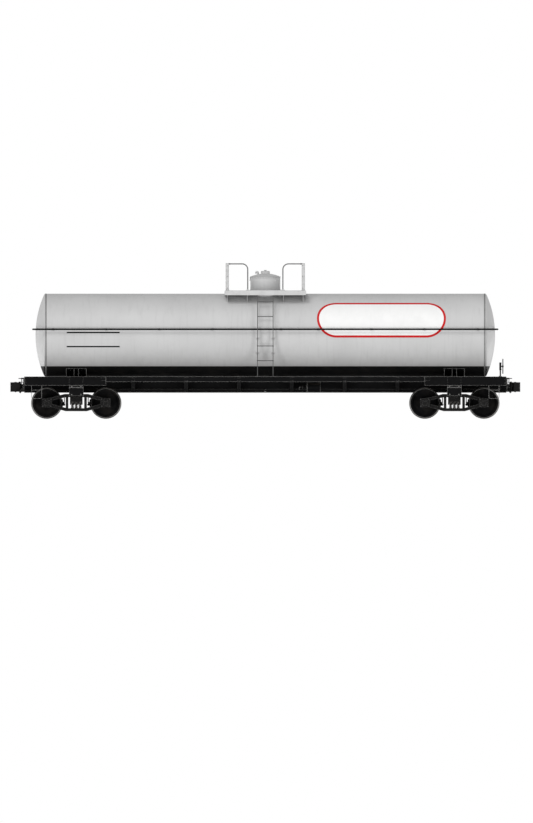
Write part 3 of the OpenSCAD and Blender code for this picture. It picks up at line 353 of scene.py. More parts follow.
class Shape:
    """Solids gathered into the mesh of one piece."""

    def __init__(self):
        self.bm = bmesh.new()

    def box(self, x, y, z, rounding=0.003):
        """A block between two values of X, Y and Z, its edges rounded."""
        middle = [(low + high) / 2 for low, high in (x, y, z)]
        size = [high - low for low, high in (x, y, z)]
        place = Matrix.Translation(middle) @ Matrix.Diagonal((*size, 1))
        made = bmesh.ops.create_cube(self.bm, size=1.0, matrix=place)["verts"]
        edges = list({edge for vert in made for edge in vert.link_edges})
        bmesh.ops.bevel(self.bm, geom=edges, offset=rounding, segments=2, profile=0.5, affect="EDGES")

    def rod(self, start, end, radius, tip=None, sides=20):
        """A round bar between two points, tapering to the tip's radius if that is given."""
        start, end = Vector(start), Vector(end)
        place = facing((start + end) / 2, end - start)
        bmesh.ops.create_cone(self.bm, cap_ends=True, segments=sides, radius1=radius,
                              radius2=radius if tip is None else tip, depth=(end - start).length,
                              matrix=place)

    def bolt(self, place, outward, radius=0.012):
        """A hexagon head on its washer."""
        place, outward = Vector(place), Vector(outward).normalized()
        self.rod(place, place + outward * radius * 0.25, radius * 1.45, sides=14)
        self.rod(place, place + outward * radius * 0.95, radius, sides=6)

    def rivet(self, place, outward, radius=0.013):
        """A domed head, half of it in the plate."""
        flat = Matrix.Diagonal((radius, radius, radius * 0.6, 1))
        bmesh.ops.create_uvsphere(self.bm, u_segments=10, v_segments=6, radius=1.0,
                                  matrix=facing(place, outward) @ flat)

    def tube(self, points, radius, sides=12, closed=False):
        """A bar bent through the points."""
        points = [Vector(p) for p in points]
        count, rings, side = len(points), [], None
        for i, point in enumerate(points):
            before = points[i - 1] if closed else points[max(i - 1, 0)]
            after = points[(i + 1) % count] if closed else points[min(i + 1, count - 1)]
            along = (after - before).normalized()
            side = (side or along.orthogonal()).normalized()
            side = (side - along * side.dot(along)).normalized()
            other = along.cross(side)
            ring = []
            for k in range(sides):
                turn = 2 * math.pi * k / sides
                offset = side * math.cos(turn) + other * math.sin(turn)
                ring.append(self.bm.verts.new(point + offset * radius))
            rings.append(ring)
        for i in range(count if closed else count - 1):
            a, b = rings[i], rings[(i + 1) % count]
            for k in range(sides):
                self.bm.faces.new((a[k], a[(k + 1) % sides], b[(k + 1) % sides], b[k]))
        if not closed:
            self.bm.faces.new(rings[0][::-1])
            self.bm.faces.new(rings[-1])

    def prism(self, outline, place, depth):
        """A flat outline in its own X and Y, thickened along +Z, then placed."""
        low = [self.bm.verts.new(place @ Vector((u, v, 0))) for u, v in outline]
        high = [self.bm.verts.new(place @ Vector((u, v, depth))) for u, v in outline]
        self.bm.faces.new(low[::-1])
        self.bm.faces.new(high)
        for i in range(len(outline)):
            j = (i + 1) % len(outline)
            self.bm.faces.new((low[i], low[j], high[j], high[i]))

    def revolve(self, profile, place, sides=48):
        """A closed profile of (radius, height) points, turned about the placed Z axis."""
        rings = []
        for k in range(sides):
            turn = 2 * math.pi * k / sides
            rings.append([self.bm.verts.new(place @ Vector((r * math.cos(turn), r * math.sin(turn), h)))
                          for r, h in profile])
        for k in range(sides):
            a, b = rings[k], rings[(k + 1) % sides]
            for i in range(len(profile)):
                j = (i + 1) % len(profile)
                self.bm.faces.new((a[i], b[i], b[j], a[j]))

    def again(self, *moves):
        """Adds a copy of all that is there, for each move in turn."""
        for move in moves:
            everything = self.bm.verts[:] + self.bm.edges[:] + self.bm.faces[:]
            copy = bmesh.ops.duplicate(self.bm, geom=everything)["geom"]
            verts = [part for part in copy if isinstance(part, bmesh.types.BMVert)]
            bmesh.ops.transform(self.bm, matrix=move, verts=verts)
            if move.determinant() < 0:
                faces = [part for part in copy if isinstance(part, bmesh.types.BMFace)]
                bmesh.ops.reverse_faces(self.bm, faces=faces)
        return self

    def moved(self, move):
        """Moves all that is there."""
        bmesh.ops.transform(self.bm, matrix=move, verts=self.bm.verts[:])
        return self

    def piece(self, name, body, finish, slot=None, sharp=38):
        """Makes the piece, which rides on the body, in one finish or several."""
        finishes = [finish] if isinstance(finish, str) else finish
        bmesh.ops.recalc_face_normals(self.bm, faces=self.bm.faces[:])
        mesh = bpy.data.meshes.new(name)
        self.bm.to_mesh(mesh)
        self.bm.free()
        mesh.polygons.foreach_set("use_smooth", [True] * len(mesh.polygons))
        mesh.set_sharp_from_angle(angle=math.radians(sharp))
        for one in finishes:
            mesh.materials.append(FINISHES[one])
        made = bpy.data.objects.new(name, mesh)
        bpy.context.scene.collection.objects.link(made)
        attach(made, body)
        return made


def spread(low, high, pitch):
    """Evenly spaced values from low to high, about a pitch apart."""
    count = max(1, round(abs(high - low) / pitch))
    return [low + (high - low) * i / count for i in range(count + 1)]


def around(count, radius, middle=(0, 0), start=0.0):
    """Points evenly round a circle."""
    turns = [start + 2 * math.pi * i / count for i in range(count)]
    return [(middle[0] + radius * math.cos(t), middle[1] + radius * math.sin(t)) for t in turns]


def plate(half_length, half_width):
    """The outline of a flat plate about its middle."""
    return [(-half_length, -half_width), (half_length, -half_width),
            (half_length, half_width), (-half_length, half_width)]


def on_tank(x, z, side, off=0.0):
    """The point of the barrel's skin at that X and height on a side, and the way out from it."""
    rise = (z - TANK_Z) / TANK_R
    out = Vector((0, side * math.sqrt(1 - rise * rise), rise))
    return Vector((x, 0, TANK_Z)) + out * (TANK_R + off), out


# Tank

RAIL_LOW, RAIL_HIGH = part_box("side_handrails")
RAIL_R = 0.02415
HANDRAIL_Z = (RAIL_LOW.z + RAIL_HIGH.z) / 2
HANDRAIL_Y = RAIL_HIGH.y - RAIL_R
SIDES = (-1, 1)


def lay_on_tank(x, arc, middle_z, lift):
    """The point that lies at X and at an arc length up from a height, on the near side."""
    turn = math.asin((middle_z - TANK_Z) / TANK_R) + arc / TANK_R
    radius = TANK_R + lift
    return Vector((x, -radius * math.cos(turn), TANK_Z + radius * math.sin(turn)))


def add_seams():
    """Flat straps over the welds between the barrel and its heads, with a bead along each edge."""
    shape = Shape()
    place = facing((BARREL_END, 0, TANK_Z), (1, 0, 0))
    inner, outer, half = TANK_R - 0.004, TANK_R + 0.005, 0.022
    shape.revolve([(inner, -half), (outer, -half + 0.004), (outer, half - 0.004), (inner, half)],
                  place, 160)
    shape.again(HALF_TURN).piece("head_seams", BODY, "seam_paint", "tank_paint")


def add_sign():
    """A blank white panel with a red border and round ends, laid on each side of the tank."""
    length, height, border, sheet = 3.66, 1.11, 0.062, 0.004
    middle_x, middle_z = 3.296, 2.847
    end_r = height / 2
    spine = length / 2 - end_r
    turns = [math.radians(2.5 + 5 * k) for k in range(72)]
    outline = [(math.copysign(spine, math.cos(t)), math.cos(t), math.sin(t)) for t in turns]
    field = end_r - border
    reaches = [end_r, end_r, field] + [field * k / 9 for k in range(8, -1, -1)]
    for name, move in (("near_sign", Matrix()), ("far_sign", HALF_TURN)):
        shape = Shape()
        rings = []
        for step, reach in enumerate(reaches):
            lift = sheet if step else -sheet
            rings.append([shape.bm.verts.new(move @ lay_on_tank(
                middle_x + centre + reach * u, reach * v, middle_z, lift)) for centre, u, v in outline])
        for step, (a, b) in enumerate(zip(rings, rings[1:])):
            for k in range(len(outline)):
                j = (k + 1) % len(outline)
                shape.bm.faces.new((a[k], a[j], b[j], b[k])).material_index = int(step > 1)
        bmesh.ops.remove_doubles(shape.bm, verts=rings[-1], dist=1e-5)
        shape.piece(name, BODY, ["sign_red", "sign_white"], "tank_paint")


def add_number_bars():
    """The two painted bars above and below the place of the car's number, which is left blank."""
    shape = Shape()
    left, right, width, lift = -5.638, -4.132, 0.040, 0.002
    stops = spread(left, right, 0.25)
    for z in (2.449, 2.049):
        for x0, x1 in zip(stops, stops[1:]):
            corners = [(x0, -1), (x1, -1), (x1, 1), (x0, 1)]
            low = [shape.bm.verts.new(lay_on_tank(x, s * width / 2, z, -lift)) for x, s in corners]
            high = [shape.bm.verts.new(lay_on_tank(x, s * width / 2, z, lift)) for x, s in corners]
            shape.bm.faces.new(high)
            for i in range(4):
                shape.bm.faces.new((low[i], low[(i + 1) % 4], high[(i + 1) % 4], high[i]))
    shape.again(HALF_TURN).piece("number_bars", BODY, "rail_paint", "tank_paint")


def add_handrail_fittings():
    """A collar on the rail and a bolted pad on the tank at each bracket."""
    collars, pads = Shape(), Shape()
    reach = BARREL_END - 0.2
    ladder_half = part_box("left_ladder")[1].x
    for x in spread(-reach, reach, reach / 4):
        if abs(x) < 0.01:
            x = 2 * ladder_half - 0.02
        collars.revolve([(0.024, -0.022), (0.0275, -0.019), (0.0275, 0.019), (0.024, 0.022)],
                        facing((x, -HANDRAIL_Y, HANDRAIL_Z), (1, 0, 0)), 24)
        foot, out = on_tank(x, HANDRAIL_Z, -1)
        pad = facing(foot, out)
        pads.prism(plate(0.045, 0.03), pad, 0.007)
        for u in (-0.030, 0.030):
            pads.bolt(pad @ Vector((u, 0, 0.007)), out, 0.008)
        pads.rod(foot, foot + out * 0.022, 0.019, 0.0125)
    collars.again(HALF_TURN).piece("handrail_collars", BODY, "rail_paint", "rail_paint")
    pads.again(HALF_TURN).piece("handrail_pads", BODY, "tank_paint", "tank_paint")


# Valve housing

HOUSING_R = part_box("valve_housing")[1].x
COVER_LOW, COVER_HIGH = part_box("housing_cover")
HOUSING_TOP = COVER_LOW.z
PLATFORM_LOW, PLATFORM_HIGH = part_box("top_platform")
PLATFORM_TOP = PLATFORM_HIGH.z


def add_housing_fittings():
    """A band under the ring's rim, a curb at its foot, and two eyebolts that clamp the cover."""
    shape = Shape()
    up = facing((0, 0, HOUSING_TOP), (0, 0, 1))
    shape.revolve([(HOUSING_R - 0.002, -0.046), (HOUSING_R + 0.007, -0.043),
                   (HOUSING_R + 0.007, -0.012), (HOUSING_R - 0.002, -0.009)], up, 96)
    curb = facing((0, 0, PLATFORM_TOP), (0, 0, 1))
    shape.revolve([(HOUSING_R - 0.002, 0.0), (HOUSING_R + 0.022, 0.0), (HOUSING_R + 0.022, 0.006),
                   (HOUSING_R + 0.006, 0.010), (HOUSING_R + 0.003, 0.030), (HOUSING_R - 0.002, 0.030)],
                  curb, 96)
    for x, y in around(24, HOUSING_R + 0.014, start=0.13):
        shape.bolt((x, y, PLATFORM_TOP + 0.006), (0, 0, 1), 0.007)
    for x, y in around(36, HOUSING_R + 0.006, start=0.05):
        shape.rivet((x, y, HOUSING_TOP - 0.0275), (x, y, 0), 0.007)
    for x, y in around(3, HOUSING_R + 0.020, start=math.radians(-165))[:2]:
        out = Vector((x, y, 0)).normalized()
        low = Vector((x, y, HOUSING_TOP - 0.095))
        shape.rod(low - out * 0.022, low + out * 0.012, 0.016, sides=16)
        shape.rod(low, low + Vector((0, 0, 0.070)), 0.008, sides=12)
        shape.bolt(low + Vector((0, 0, 0.070)), (0, 0, 1), 0.014)
    shape.piece("housing_fittings", BODY, "tank_paint", "tank_paint")


def add_manway_bolts():
    """Studs round the manway plate, and gland nuts on the valves."""
    shape = Shape()
    plate_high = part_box("manway_plate")[1]
    for x, y in around(20, plate_high.x - 0.026, start=0.16):
        shape.bolt((x, y, plate_high.z), (0, 0, 1), 0.014)
        shape.rod((x, y, plate_high.z), (x, y, plate_high.z + 0.026), 0.007, sides=10)
    shape.piece("manway_bolts", BODY, "bright_steel", "manway_steel")
    glands = Shape()
    for x, y in around(3, 0.175):
        glands.rod((x, y, plate_high.z), (x, y, plate_high.z + 0.016), 0.058, sides=8)
        glands.rod((x, y, plate_high.z + 0.146), (x, y, plate_high.z + 0.168), 0.026, sides=6)
    for x, y in around(8, 0.068, start=0.3):
        glands.bolt((x, y, plate_high.z + 0.110), (0, 0, 1), 0.007)
    glands.rod((0, 0, plate_high.z), (0, 0, plate_high.z + 0.018), 0.092, sides=32)
    glands.piece("valve_glands", BODY, "valve_metal", "valve_metal")


def add_cover_fittings():
    """A rim bead, a ring of bolts on the cap, and a lifting handle at the front."""
    shape = Shape()
    rim = facing((0, 0, HOUSING_TOP), (0, 0, 1))
    outer, top = COVER_HIGH.x, COVER_HIGH.z
    shape.revolve([(outer - 0.010, 0.001), (outer - 0.001, 0.001), (outer, 0.006), (outer - 0.004, 0.011),
                   (outer - 0.014, 0.012)], rim, 96)
    cap_r, cap_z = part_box("cover_fittings")[1].x, top + 0.012
    for x, y in around(12, cap_r - 0.014, start=0.1):
        shape.bolt((x, y, cap_z + 0.036), (0, 0, 1), 0.007)
    handle_y, leg_x, bend_x, bar_r = -0.30, 0.09, 0.08, 0.008
    for side in SIDES:
        shape.rod((side * leg_x, handle_y, top - 0.060), (side * leg_x, handle_y, top - 0.020), bar_r)
    shape.tube([(-leg_x, handle_y, top - 0.022), (-bend_x, handle_y, top - 0.008),
                (bend_x, handle_y, top - 0.008), (leg_x, handle_y, top - 0.022)], bar_r)
    shape.piece("cover_trim", COVER, "tank_paint", "tank_paint")


# Platform, railings and ladders

def add_platform_fittings():
    """Bolted foot plates under the railings, and a row of rivets along the platform's skirt."""
    shape = Shape()
    half_l, half_w = PLATFORM_HIGH.x, PLATFORM_HIGH.y
    post_x, post_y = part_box("platform_railings")[1].xy
    leg_x, leg_y = 0.4987, post_y - 0.025
    foot = 0.055
    for side in SIDES:
        middle = side * leg_y
        shape.box((leg_x - foot, leg_x + foot), (middle - foot, middle + foot),
                  (PLATFORM_TOP - 0.001, PLATFORM_TOP + 0.008))
        shape.rod((leg_x, middle, PLATFORM_TOP + 0.006), (leg_x, middle, PLATFORM_TOP + 0.030), 0.025, 0.0175)
        for x, y in around(4, 0.058, (leg_x, middle), math.pi / 4):
            shape.bolt((x, y, PLATFORM_TOP + 0.008), (0, 0, 1), 0.008)
        corner = side * (post_y - 0.050)
        shape.box((post_x - 0.110, post_x - 0.008), (corner - 0.045, corner + 0.041),
                  (PLATFORM_TOP - 0.001, PLATFORM_TOP + 0.008))
        for x in (post_x - 0.085, post_x - 0.035):
            shape.bolt((x, corner - side * 0.020, PLATFORM_TOP + 0.008), (0, 0, 1), 0.008)
        for x in spread(0.10, half_l - 0.10, 0.12):
            for z in (PLATFORM_LOW.z + 0.030, PLATFORM_TOP - 0.030):
                shape.rivet((x, side * half_w, z), (0, side, 0), 0.008)
    for y in spread(-half_w + 0.10, half_w - 0.10, 0.12):
        shape.rivet((half_l, y, (PLATFORM_LOW.z + PLATFORM_TOP) / 2), (1, 0, 0), 0.008)
    shape.again(HALF_TURN)
    shape.piece("platform_fittings", BODY, "platform_paint", "platform_paint")


def add_railing_joints():
    """Sleeves where the pipes meet the corner posts, and the bolts through the posts."""
    shape = Shape()
    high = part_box("platform_railings")[1]
    pipe_r = 0.0167
    sleeve_r = pipe_r + 0.005
    top, cross_x = high.z - pipe_r, high.x - 0.025
    for side in SIDES:
        y = side * (high.y - 0.025)
        shape.rod((high.x - 0.130, y, top), (high.x - 0.060, y, top), sleeve_r)
        shape.rod((cross_x, y - side * 0.105, top), (cross_x, y - side * 0.035, top), sleeve_r)
        for z in (PLATFORM_TOP + 0.06, PLATFORM_TOP + 0.40, top - 0.05):
            shape.bolt((high.x - 0.060, side * high.y, z), (0, side, 0), 0.009)
    shape.again(HALF_TURN)
    shape.piece("railing_joints", BODY, "railing_paint", "platform_paint")


def add_ladder_fittings():
    """Angle feet, ties from the stiles to the tank, and a weld collar at each rung's end."""
    shape, ties = Shape(), Shape()
    low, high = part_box("left_ladder")
    stile_x, outer_y = high.x - 0.010, -low.y
    for side in SIDES:
        x = side * stile_x
        shape.box((x - 0.035, x + 0.035), (-outer_y - 0.004, -outer_y + 0.064),
                  (DECK_Z - 0.001, DECK_Z + 0.009))
        shape.bolt((x - 0.022 * side, -outer_y + 0.030, DECK_Z + 0.009), (0, 0, 1), 0.009)
        for z in (1.86, 2.27):
            foot, out = on_tank(x, z, -1)
            knee = Vector((x, -outer_y + 0.030, z))
            ties.rod(foot, knee, 0.011)
            pad = facing(foot, out)
            ties.prism(plate(0.045, 0.03), pad, 0.007)
            for v in (-0.030, 0.030):
                ties.bolt(pad @ Vector((v, 0, 0.007)), out, 0.008)
            shape.bolt((x, -outer_y, z), (0, -1, 0), 0.010)
        rung_y = -outer_y + 0.030
        for z in (1.65, 2.067):
            shape.rod((x - 0.016, rung_y, z), (x + 0.016, rung_y, z), 0.017)
    shape.again(CROSSWISE)
    shape.piece("ladder_fittings", BODY, "ladder_paint", "platform_paint")
    ties.again(CROSSWISE)
    ties.piece("ladder_ties", BODY, "tank_paint", "tank_paint")


# Deck boards

FRAME_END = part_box("end_side_channels")[1].x
BOARD_LOW, BOARD_HIGH = (corner.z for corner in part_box("running_boards"))
BEARER_X = (0.75, 2.25, 3.75)


def plank(shape, x, y, seed):
    """One board, its corners a little off true."""
    random.seed(seed)
    gap = 0.004
    drop = random.uniform(0.0, 0.003)
    shape.box((x[0] + gap, x[1] - gap), (y[0] + gap, y[1] - gap),
              (BOARD_LOW, BOARD_HIGH - drop), 0.005)


def add_running_boards():
    """Three long boards side by side along each side, butted over the bearers."""
    shape = Shape()
    low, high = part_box("running_boards")
    inner = 0.700
    joints = ((-2.25, 0.75), (-0.75, 2.25), (-2.25, 2.25))
    edges = spread(inner, high.y, (high.y - inner) / 3)
    for row, (near, far) in enumerate(zip(edges, edges[1:])):
        stops = (low.x, *joints[row], high.x)
        for part, (x0, x1) in enumerate(zip(stops, stops[1:])):
            plank(shape, (x0, x1), (near, far), 10 * row + part)
        for x in [side * bearer for bearer in BEARER_X for side in SIDES]:
            for y in (near + 0.045, far - 0.045):
                shape.rivet((x + 0.03, y, BOARD_HIGH - 0.003), (0, 0, 1), 0.010)
    boards_made = shape.again(HALF_TURN).piece("running_planks", BODY, "boards", "boards")
    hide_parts("running_boards")


def add_end_decks():
    """Boards along both sides of each end platform, and one across its outer end."""
    side_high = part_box("end_decks")[1]
    inner_x, outer_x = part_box("edge_channels")[1].x, side_high.x
    cross_x = outer_x - 0.203
    along, across = Shape(), Shape()
    edges = spread(0.760, side_high.y, 0.195)
    for row, (near, far) in enumerate(zip(edges, edges[1:])):
        plank(along, (inner_x, cross_x), (near, far), 40 + row)
        for x in (inner_x + 0.06, TRUCK_X - 0.1, TRUCK_X + 0.1, cross_x - 0.06):
            along.rivet((x, (near + far) / 2, BOARD_HIGH - 0.003), (0, 0, 1), 0.010)
    made = along.again(CROSSWISE, LENGTHWISE).piece("end_deck_planks", BODY, "boards", "boards")
    for part, (y0, y1) in enumerate(((-side_high.y, 0.0), (0.0, side_high.y))):
        plank(across, (cross_x, outer_x), (y0, y1), 50 + part)
        for y in spread(y0 + 0.08, y1 - 0.08, 0.4):
            across.rivet((outer_x - 0.06, y, BOARD_HIGH - 0.003), (0, 0, 1), 0.010)
    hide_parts("end_decks")
    across.again(HALF_TURN).piece("end_cross_planks", BODY, "cross_boards", "boards")


# Underframe

CHANNEL_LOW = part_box("end_side_channels")[0].z
END_DECK_L = 2.316
END_DECK_X = FRAME_END - END_DECK_L
RIVET = 0.012


def add_frame_rivets():
    """Rivets on the side channels, edge channels and end sills, and cover plates at the joints."""
    shape = Shape()
    edge_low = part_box("edge_channels")[0].z
    out = (0, 1, 0)
    for x in [side * bearer for bearer in BEARER_X for side in SIDES]:
        for u in (-0.03, 0.03):
            for z in (edge_low + 0.035, DECK_Z - 0.035):
                shape.rivet((x + u, CAR_SIDE, z), out, RIVET)
    for x in [side * TRUCK_X for side in SIDES]:
        for u in (-0.193, 0.193):
            for z in spread(CHANNEL_LOW + 0.030, DECK_Z - 0.030, 0.065):
                shape.rivet((x + u, CAR_SIDE, z), out, RIVET)
    for side in SIDES:
        joint = side * END_DECK_X
        shape.box((joint - 0.16, joint + 0.16), (CAR_SIDE - 0.055, CAR_SIDE - 0.004),
                  (edge_low + 0.004, DECK_Z - 0.012))
        for u in (0.040, 0.085, 0.130):
            for z in (edge_low + 0.035, DECK_Z - 0.035):
                shape.rivet((joint + side * u, CAR_SIDE, z), out, RIVET)
        for z in spread(CHANNEL_LOW + 0.030, DECK_Z - 0.030, 0.065):
            shape.rivet((side * (FRAME_END - 0.040), CAR_SIDE, z), out, RIVET)
    for y in [side * (CAR_SIDE - inset) for inset in (0.10, 0.16, 0.62, 0.68) for side in SIDES]:
        for z in (CHANNEL_LOW + 0.035, DECK_Z - 0.035):
            shape.rivet((FRAME_END, y, z), (1, 0, 0), RIVET)
    shape.again(HALF_TURN).piece("frame_rivets", BODY, "frame_paint", "frame_paint")


def add_saddle_fittings():
    """Bolts along the saddles' upright plates and rivets round their curved plates."""
    shape = Shape()
    low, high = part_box("tank_saddles")
    for x in spread(low.x + 0.03, low.x + 0.555, 0.105):
        foot, out = on_tank(x, high.z - 0.040, -1, 0.014)
        shape.rivet(foot, out, 0.011)
    for x in (TRUCK_X - 0.22, TRUCK_X - 0.10, TRUCK_X + 0.10, TRUCK_X + 0.22):
        shape.box((-x - 0.035, -x + 0.035), (low.y - 0.045, low.y + 0.04), (DECK_Z - 0.045, DECK_Z - 0.032))
        shape.bolt((-x, low.y - 0.022, DECK_Z - 0.032), (0, 0, 1), 0.012)
    shape.again(CROSSWISE, LENGTHWISE)
    shape.piece("saddle_fittings", BODY, "frame_paint", "frame_paint")


def add_bracket_fittings():
    """Bolt heads on the jacking brackets and sill steps."""
    shape = Shape()
    low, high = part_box("jacking_brackets")
    face = high.y - 0.006
    for u in (-0.13, 0.13):
        for z in (low.z + 0.040, CHANNEL_LOW - 0.025):
            shape.bolt((TRUCK_X + u, face, z), (0, 1, 0), 0.012)
    step_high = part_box("sill_steps")[1]
    for x in (step_high.x - 0.294, step_high.x - 0.006):
        side = 1 if x > step_high.x - 0.1 else -1
        for y in (step_high.y - 0.037, step_high.y - 0.013):
            shape.bolt((x + side * 0.006, y, CHANNEL_LOW - 0.030), (side, 0, 0), 0.007)
    shape.again(CROSSWISE, LENGTHWISE)
    shape.piece("bracket_fittings", BODY, "frame_paint", "frame_paint")


def add_end_fittings():
    """Bolts on the strikers, and the lugs of the grab irons."""
    shape = Shape()
    low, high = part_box("end_sills")
    for y in (-0.165, 0.165):
        for z in spread(low.z + 0.04, high.z - 0.10, 0.085):
            shape.bolt((high.x, y, z), (1, 0, 0), 0.012)
    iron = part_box("grab_irons")[1]
    for middle in (-1.03, 1.03):
        for y in (middle - 0.215, middle + 0.215):
            shape.prism(plate(0.03, 0.03), facing((FRAME_END, y, iron.z - 0.010), (1, 0, 0)), 0.008)
            shape.bolt((FRAME_END + 0.008, y, iron.z - 0.029), (1, 0, 0), 0.007)
    shape.again(HALF_TURN).piece("end_fittings", BODY, "frame_paint", "frame_paint")


def add_brake_piping():
    """Pipes and unions between the train pipe, the valve, the reservoir and the cylinder."""
    shape = Shape()
    reservoir_low, reservoir_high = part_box("brake_reservoir")
    cylinder_low, cylinder_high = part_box("brake_cylinder")
    valve_low, valve_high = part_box("brake_valve")
    axis_y, axis_z = reservoir_high.y - 0.158, (reservoir_low.z + reservoir_high.z) / 2
    pipe_r, bolt_r, branch_x, flange_x = 0.013, 0.009, 0.05, 1.195
    end_x = reservoir_high.x - 0.01
    shape.tube([(valve_low.x + 0.02, valve_high.y - 0.1, axis_z), (valve_low.x - 0.10, axis_y, axis_z),
                (end_x, axis_y, axis_z)], pipe_r)
    shape.rod((end_x, axis_y, axis_z), (reservoir_high.x + 0.030, axis_y, axis_z), 0.026, sides=6)
    shape.tube([(branch_x, y, z) for y, z in ((0.33, 0.80), (0.40, 0.80), (0.46, 0.83), (0.50, 0.85))],
               pipe_r)
    for inward, z in around(8, 0.126, (-cylinder_low.y - 0.14, axis_z)):
        for x in (flange_x, cylinder_high.x):
            shape.bolt((x, -inward, z), (1, 0, 0), bolt_r)
    for y, z in around(6, 0.075, (axis_y, axis_z)):
        shape.bolt((reservoir_low.x, y, z), (-1, 0, 0), bolt_r)
        shape.bolt((reservoir_high.x, y, z), (1, 0, 0), bolt_r)
    for x, rise in ((-0.09, 0.07), (0.09, 0.07), (-0.09, -0.07), (0.09, -0.07)):
        shape.bolt((x, valve_high.y, axis_z + rise), (0, 1, 0), bolt_r)
    shape.piece("brake_piping", BODY, "frame_paint", "frame_paint")


def add_hand_brake_fittings():
    """Bolts on the hand brake's case and foot, and the rod that runs down and in over the truck."""
    shape = Shape()
    low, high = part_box("hand_brake_stand")
    face, middle = high.x - 0.020, (low.y + high.y) / 2
    for u in (-0.062, 0.062):
        for z in (high.z - 0.205, high.z - 0.020):
            shape.bolt((face, middle + u, z), (1, 0, 0), 0.008)
    for u in (-0.055, 0.055):
        shape.bolt((low.x + 0.02, middle + u, DECK_Z + 0.012), (0, 0, 1), 0.010)
    rod_x, rod_y, rod_z, rod_r = low.x + 0.045, -0.42, 0.842, 0.010
    shape.rod((rod_x, middle, DECK_Z), (rod_x, middle, rod_z), rod_r)
    shape.rod((rod_x, middle, rod_z), (rod_x, rod_y, rod_z), rod_r)
    shape.rod((rod_x, rod_y, rod_z), (TRUCK_X + 0.19, rod_y, rod_z), rod_r)
    shape.piece("hand_brake_fittings", BODY, "frame_paint", "frame_paint")


# Trucks

SPRING_LOW, SPRING_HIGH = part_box("b_truck_springs")
FRAME_LOW, FRAME_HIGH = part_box("b_side_frames")
BOX_BACK = 0.851                # the inner faces of the journal boxes
JOURNAL_Y = (FRAME_HIGH.y + BOX_BACK) / 2
FRAME_FACE = JOURNAL_Y + 0.060  # the outer faces of the side frames' webs


def helix(middle, low, high, radius, turns, steps=14):
    """The line of a coil spring that stands at a point, closed flat at both ends."""
    points = []
    for i in range(int(turns * steps) + 1):
        t = i / (turns * steps)
        rise = min(max((t - 0.12) / 0.76, 0.0), 1.0)
        turn = 2 * math.pi * turns * t
        points.append((middle[0] + radius * math.cos(turn), middle[1] + radius * math.sin(turn),
                       low + (high - low) * rise))
    return points


def add_springs(truck, end):
    """Coil springs between the side frames and the bolster, a small coil inside each large one."""
    shape = Shape()
    low, high, coil, bar = SPRING_LOW.z, SPRING_HIGH.z, 0.038, 0.0095
    pitch = 0.108
    for x in (-pitch, 0.0, pitch):
        for y in (-0.052, 0.052):
            for side in SIDES:
                middle = (end * TRUCK_X + x, side * (JOURNAL_Y + y))
                shape.tube(helix(middle, low + bar, high - bar, coil, 6), bar, 8)
                shape.tube(helix(middle, low + 0.006, high - 0.006, 0.020, 8, 10), 0.006, 6)
                for z0, z1 in ((low, low + 0.005), (high - 0.005, high)):
                    shape.rod((*middle, z0), (*middle, z1), coil + bar, sides=20)
    made = shape.piece(f"{truck}_coils", truck, "spring_steel", "spring_steel")
    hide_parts(f"{'a' if end < 0 else 'b'}_truck_springs")


def add_journal_lids(truck, end):
    """The sprung lid, hinge and spring clip on the front of each journal box."""
    shape = Shape()
    face = FRAME_HIGH.y
    for side in SIDES:
        x = side * HALF_WHEELBASE
        lid = Matrix.Translation((x, face, AXLE_Z)) @ Matrix.Rotation(math.radians(-90), 4, "X")
        arch = [(-0.098, 0.085), (0.098, 0.085), (0.098, -0.060)]
        arch += [(0.098 * math.cos(t), -0.060 - 0.030 * math.sin(t))
                 for t in (math.radians(a) for a in range(20, 180, 20))]
        arch += [(-0.098, -0.060)]
        shape.prism(arch, lid, 0.012)
        shape.box((x - 0.060, x + 0.060), (face, face + 0.020), (AXLE_Z - 0.058, AXLE_Z + 0.042), 0.008)
        shape.rod((x - 0.070, face + 0.012, AXLE_Z + 0.100), (x + 0.070, face + 0.012, AXLE_Z + 0.100), 0.012)
        for u in (-0.045, 0.045):
            shape.box((x + u - 0.014, x + u + 0.014), (face, face + 0.024),
                      (AXLE_Z + 0.066, AXLE_Z + 0.112), 0.006)
        for u in (-0.112, 0.112):
            for z in (AXLE_Z - 0.088, AXLE_Z + 0.108):
                shape.bolt((x + u, face, z), (0, 1, 0), 0.009)
    shape.again(CROSSWISE).moved(Matrix.Translation((end * TRUCK_X, 0, 0)))
    shape.piece(f"{truck}_journal_lids", truck, "cast_steel", "cast_steel")


def rib(shape, corners, y0, y1, width):
    """A raised rib along a line of (x, z) corners."""
    for (x0, z0), (x1, z1) in zip(corners, corners[1:]):
        run, rise = x1 - x0, z1 - z0
        length = math.hypot(run, rise)
        u, v = -rise / length * width / 2, run / length * width / 2
        outline = [(x0 - u, z0 - v), (x1 - u, z1 - v), (x1 + u, z1 + v), (x0 + u, z0 + v)]
        place = Matrix.Translation((0, y1, 0)) @ Matrix.Rotation(math.radians(90), 4, "X")
        shape.prism(outline, place, y1 - y0)


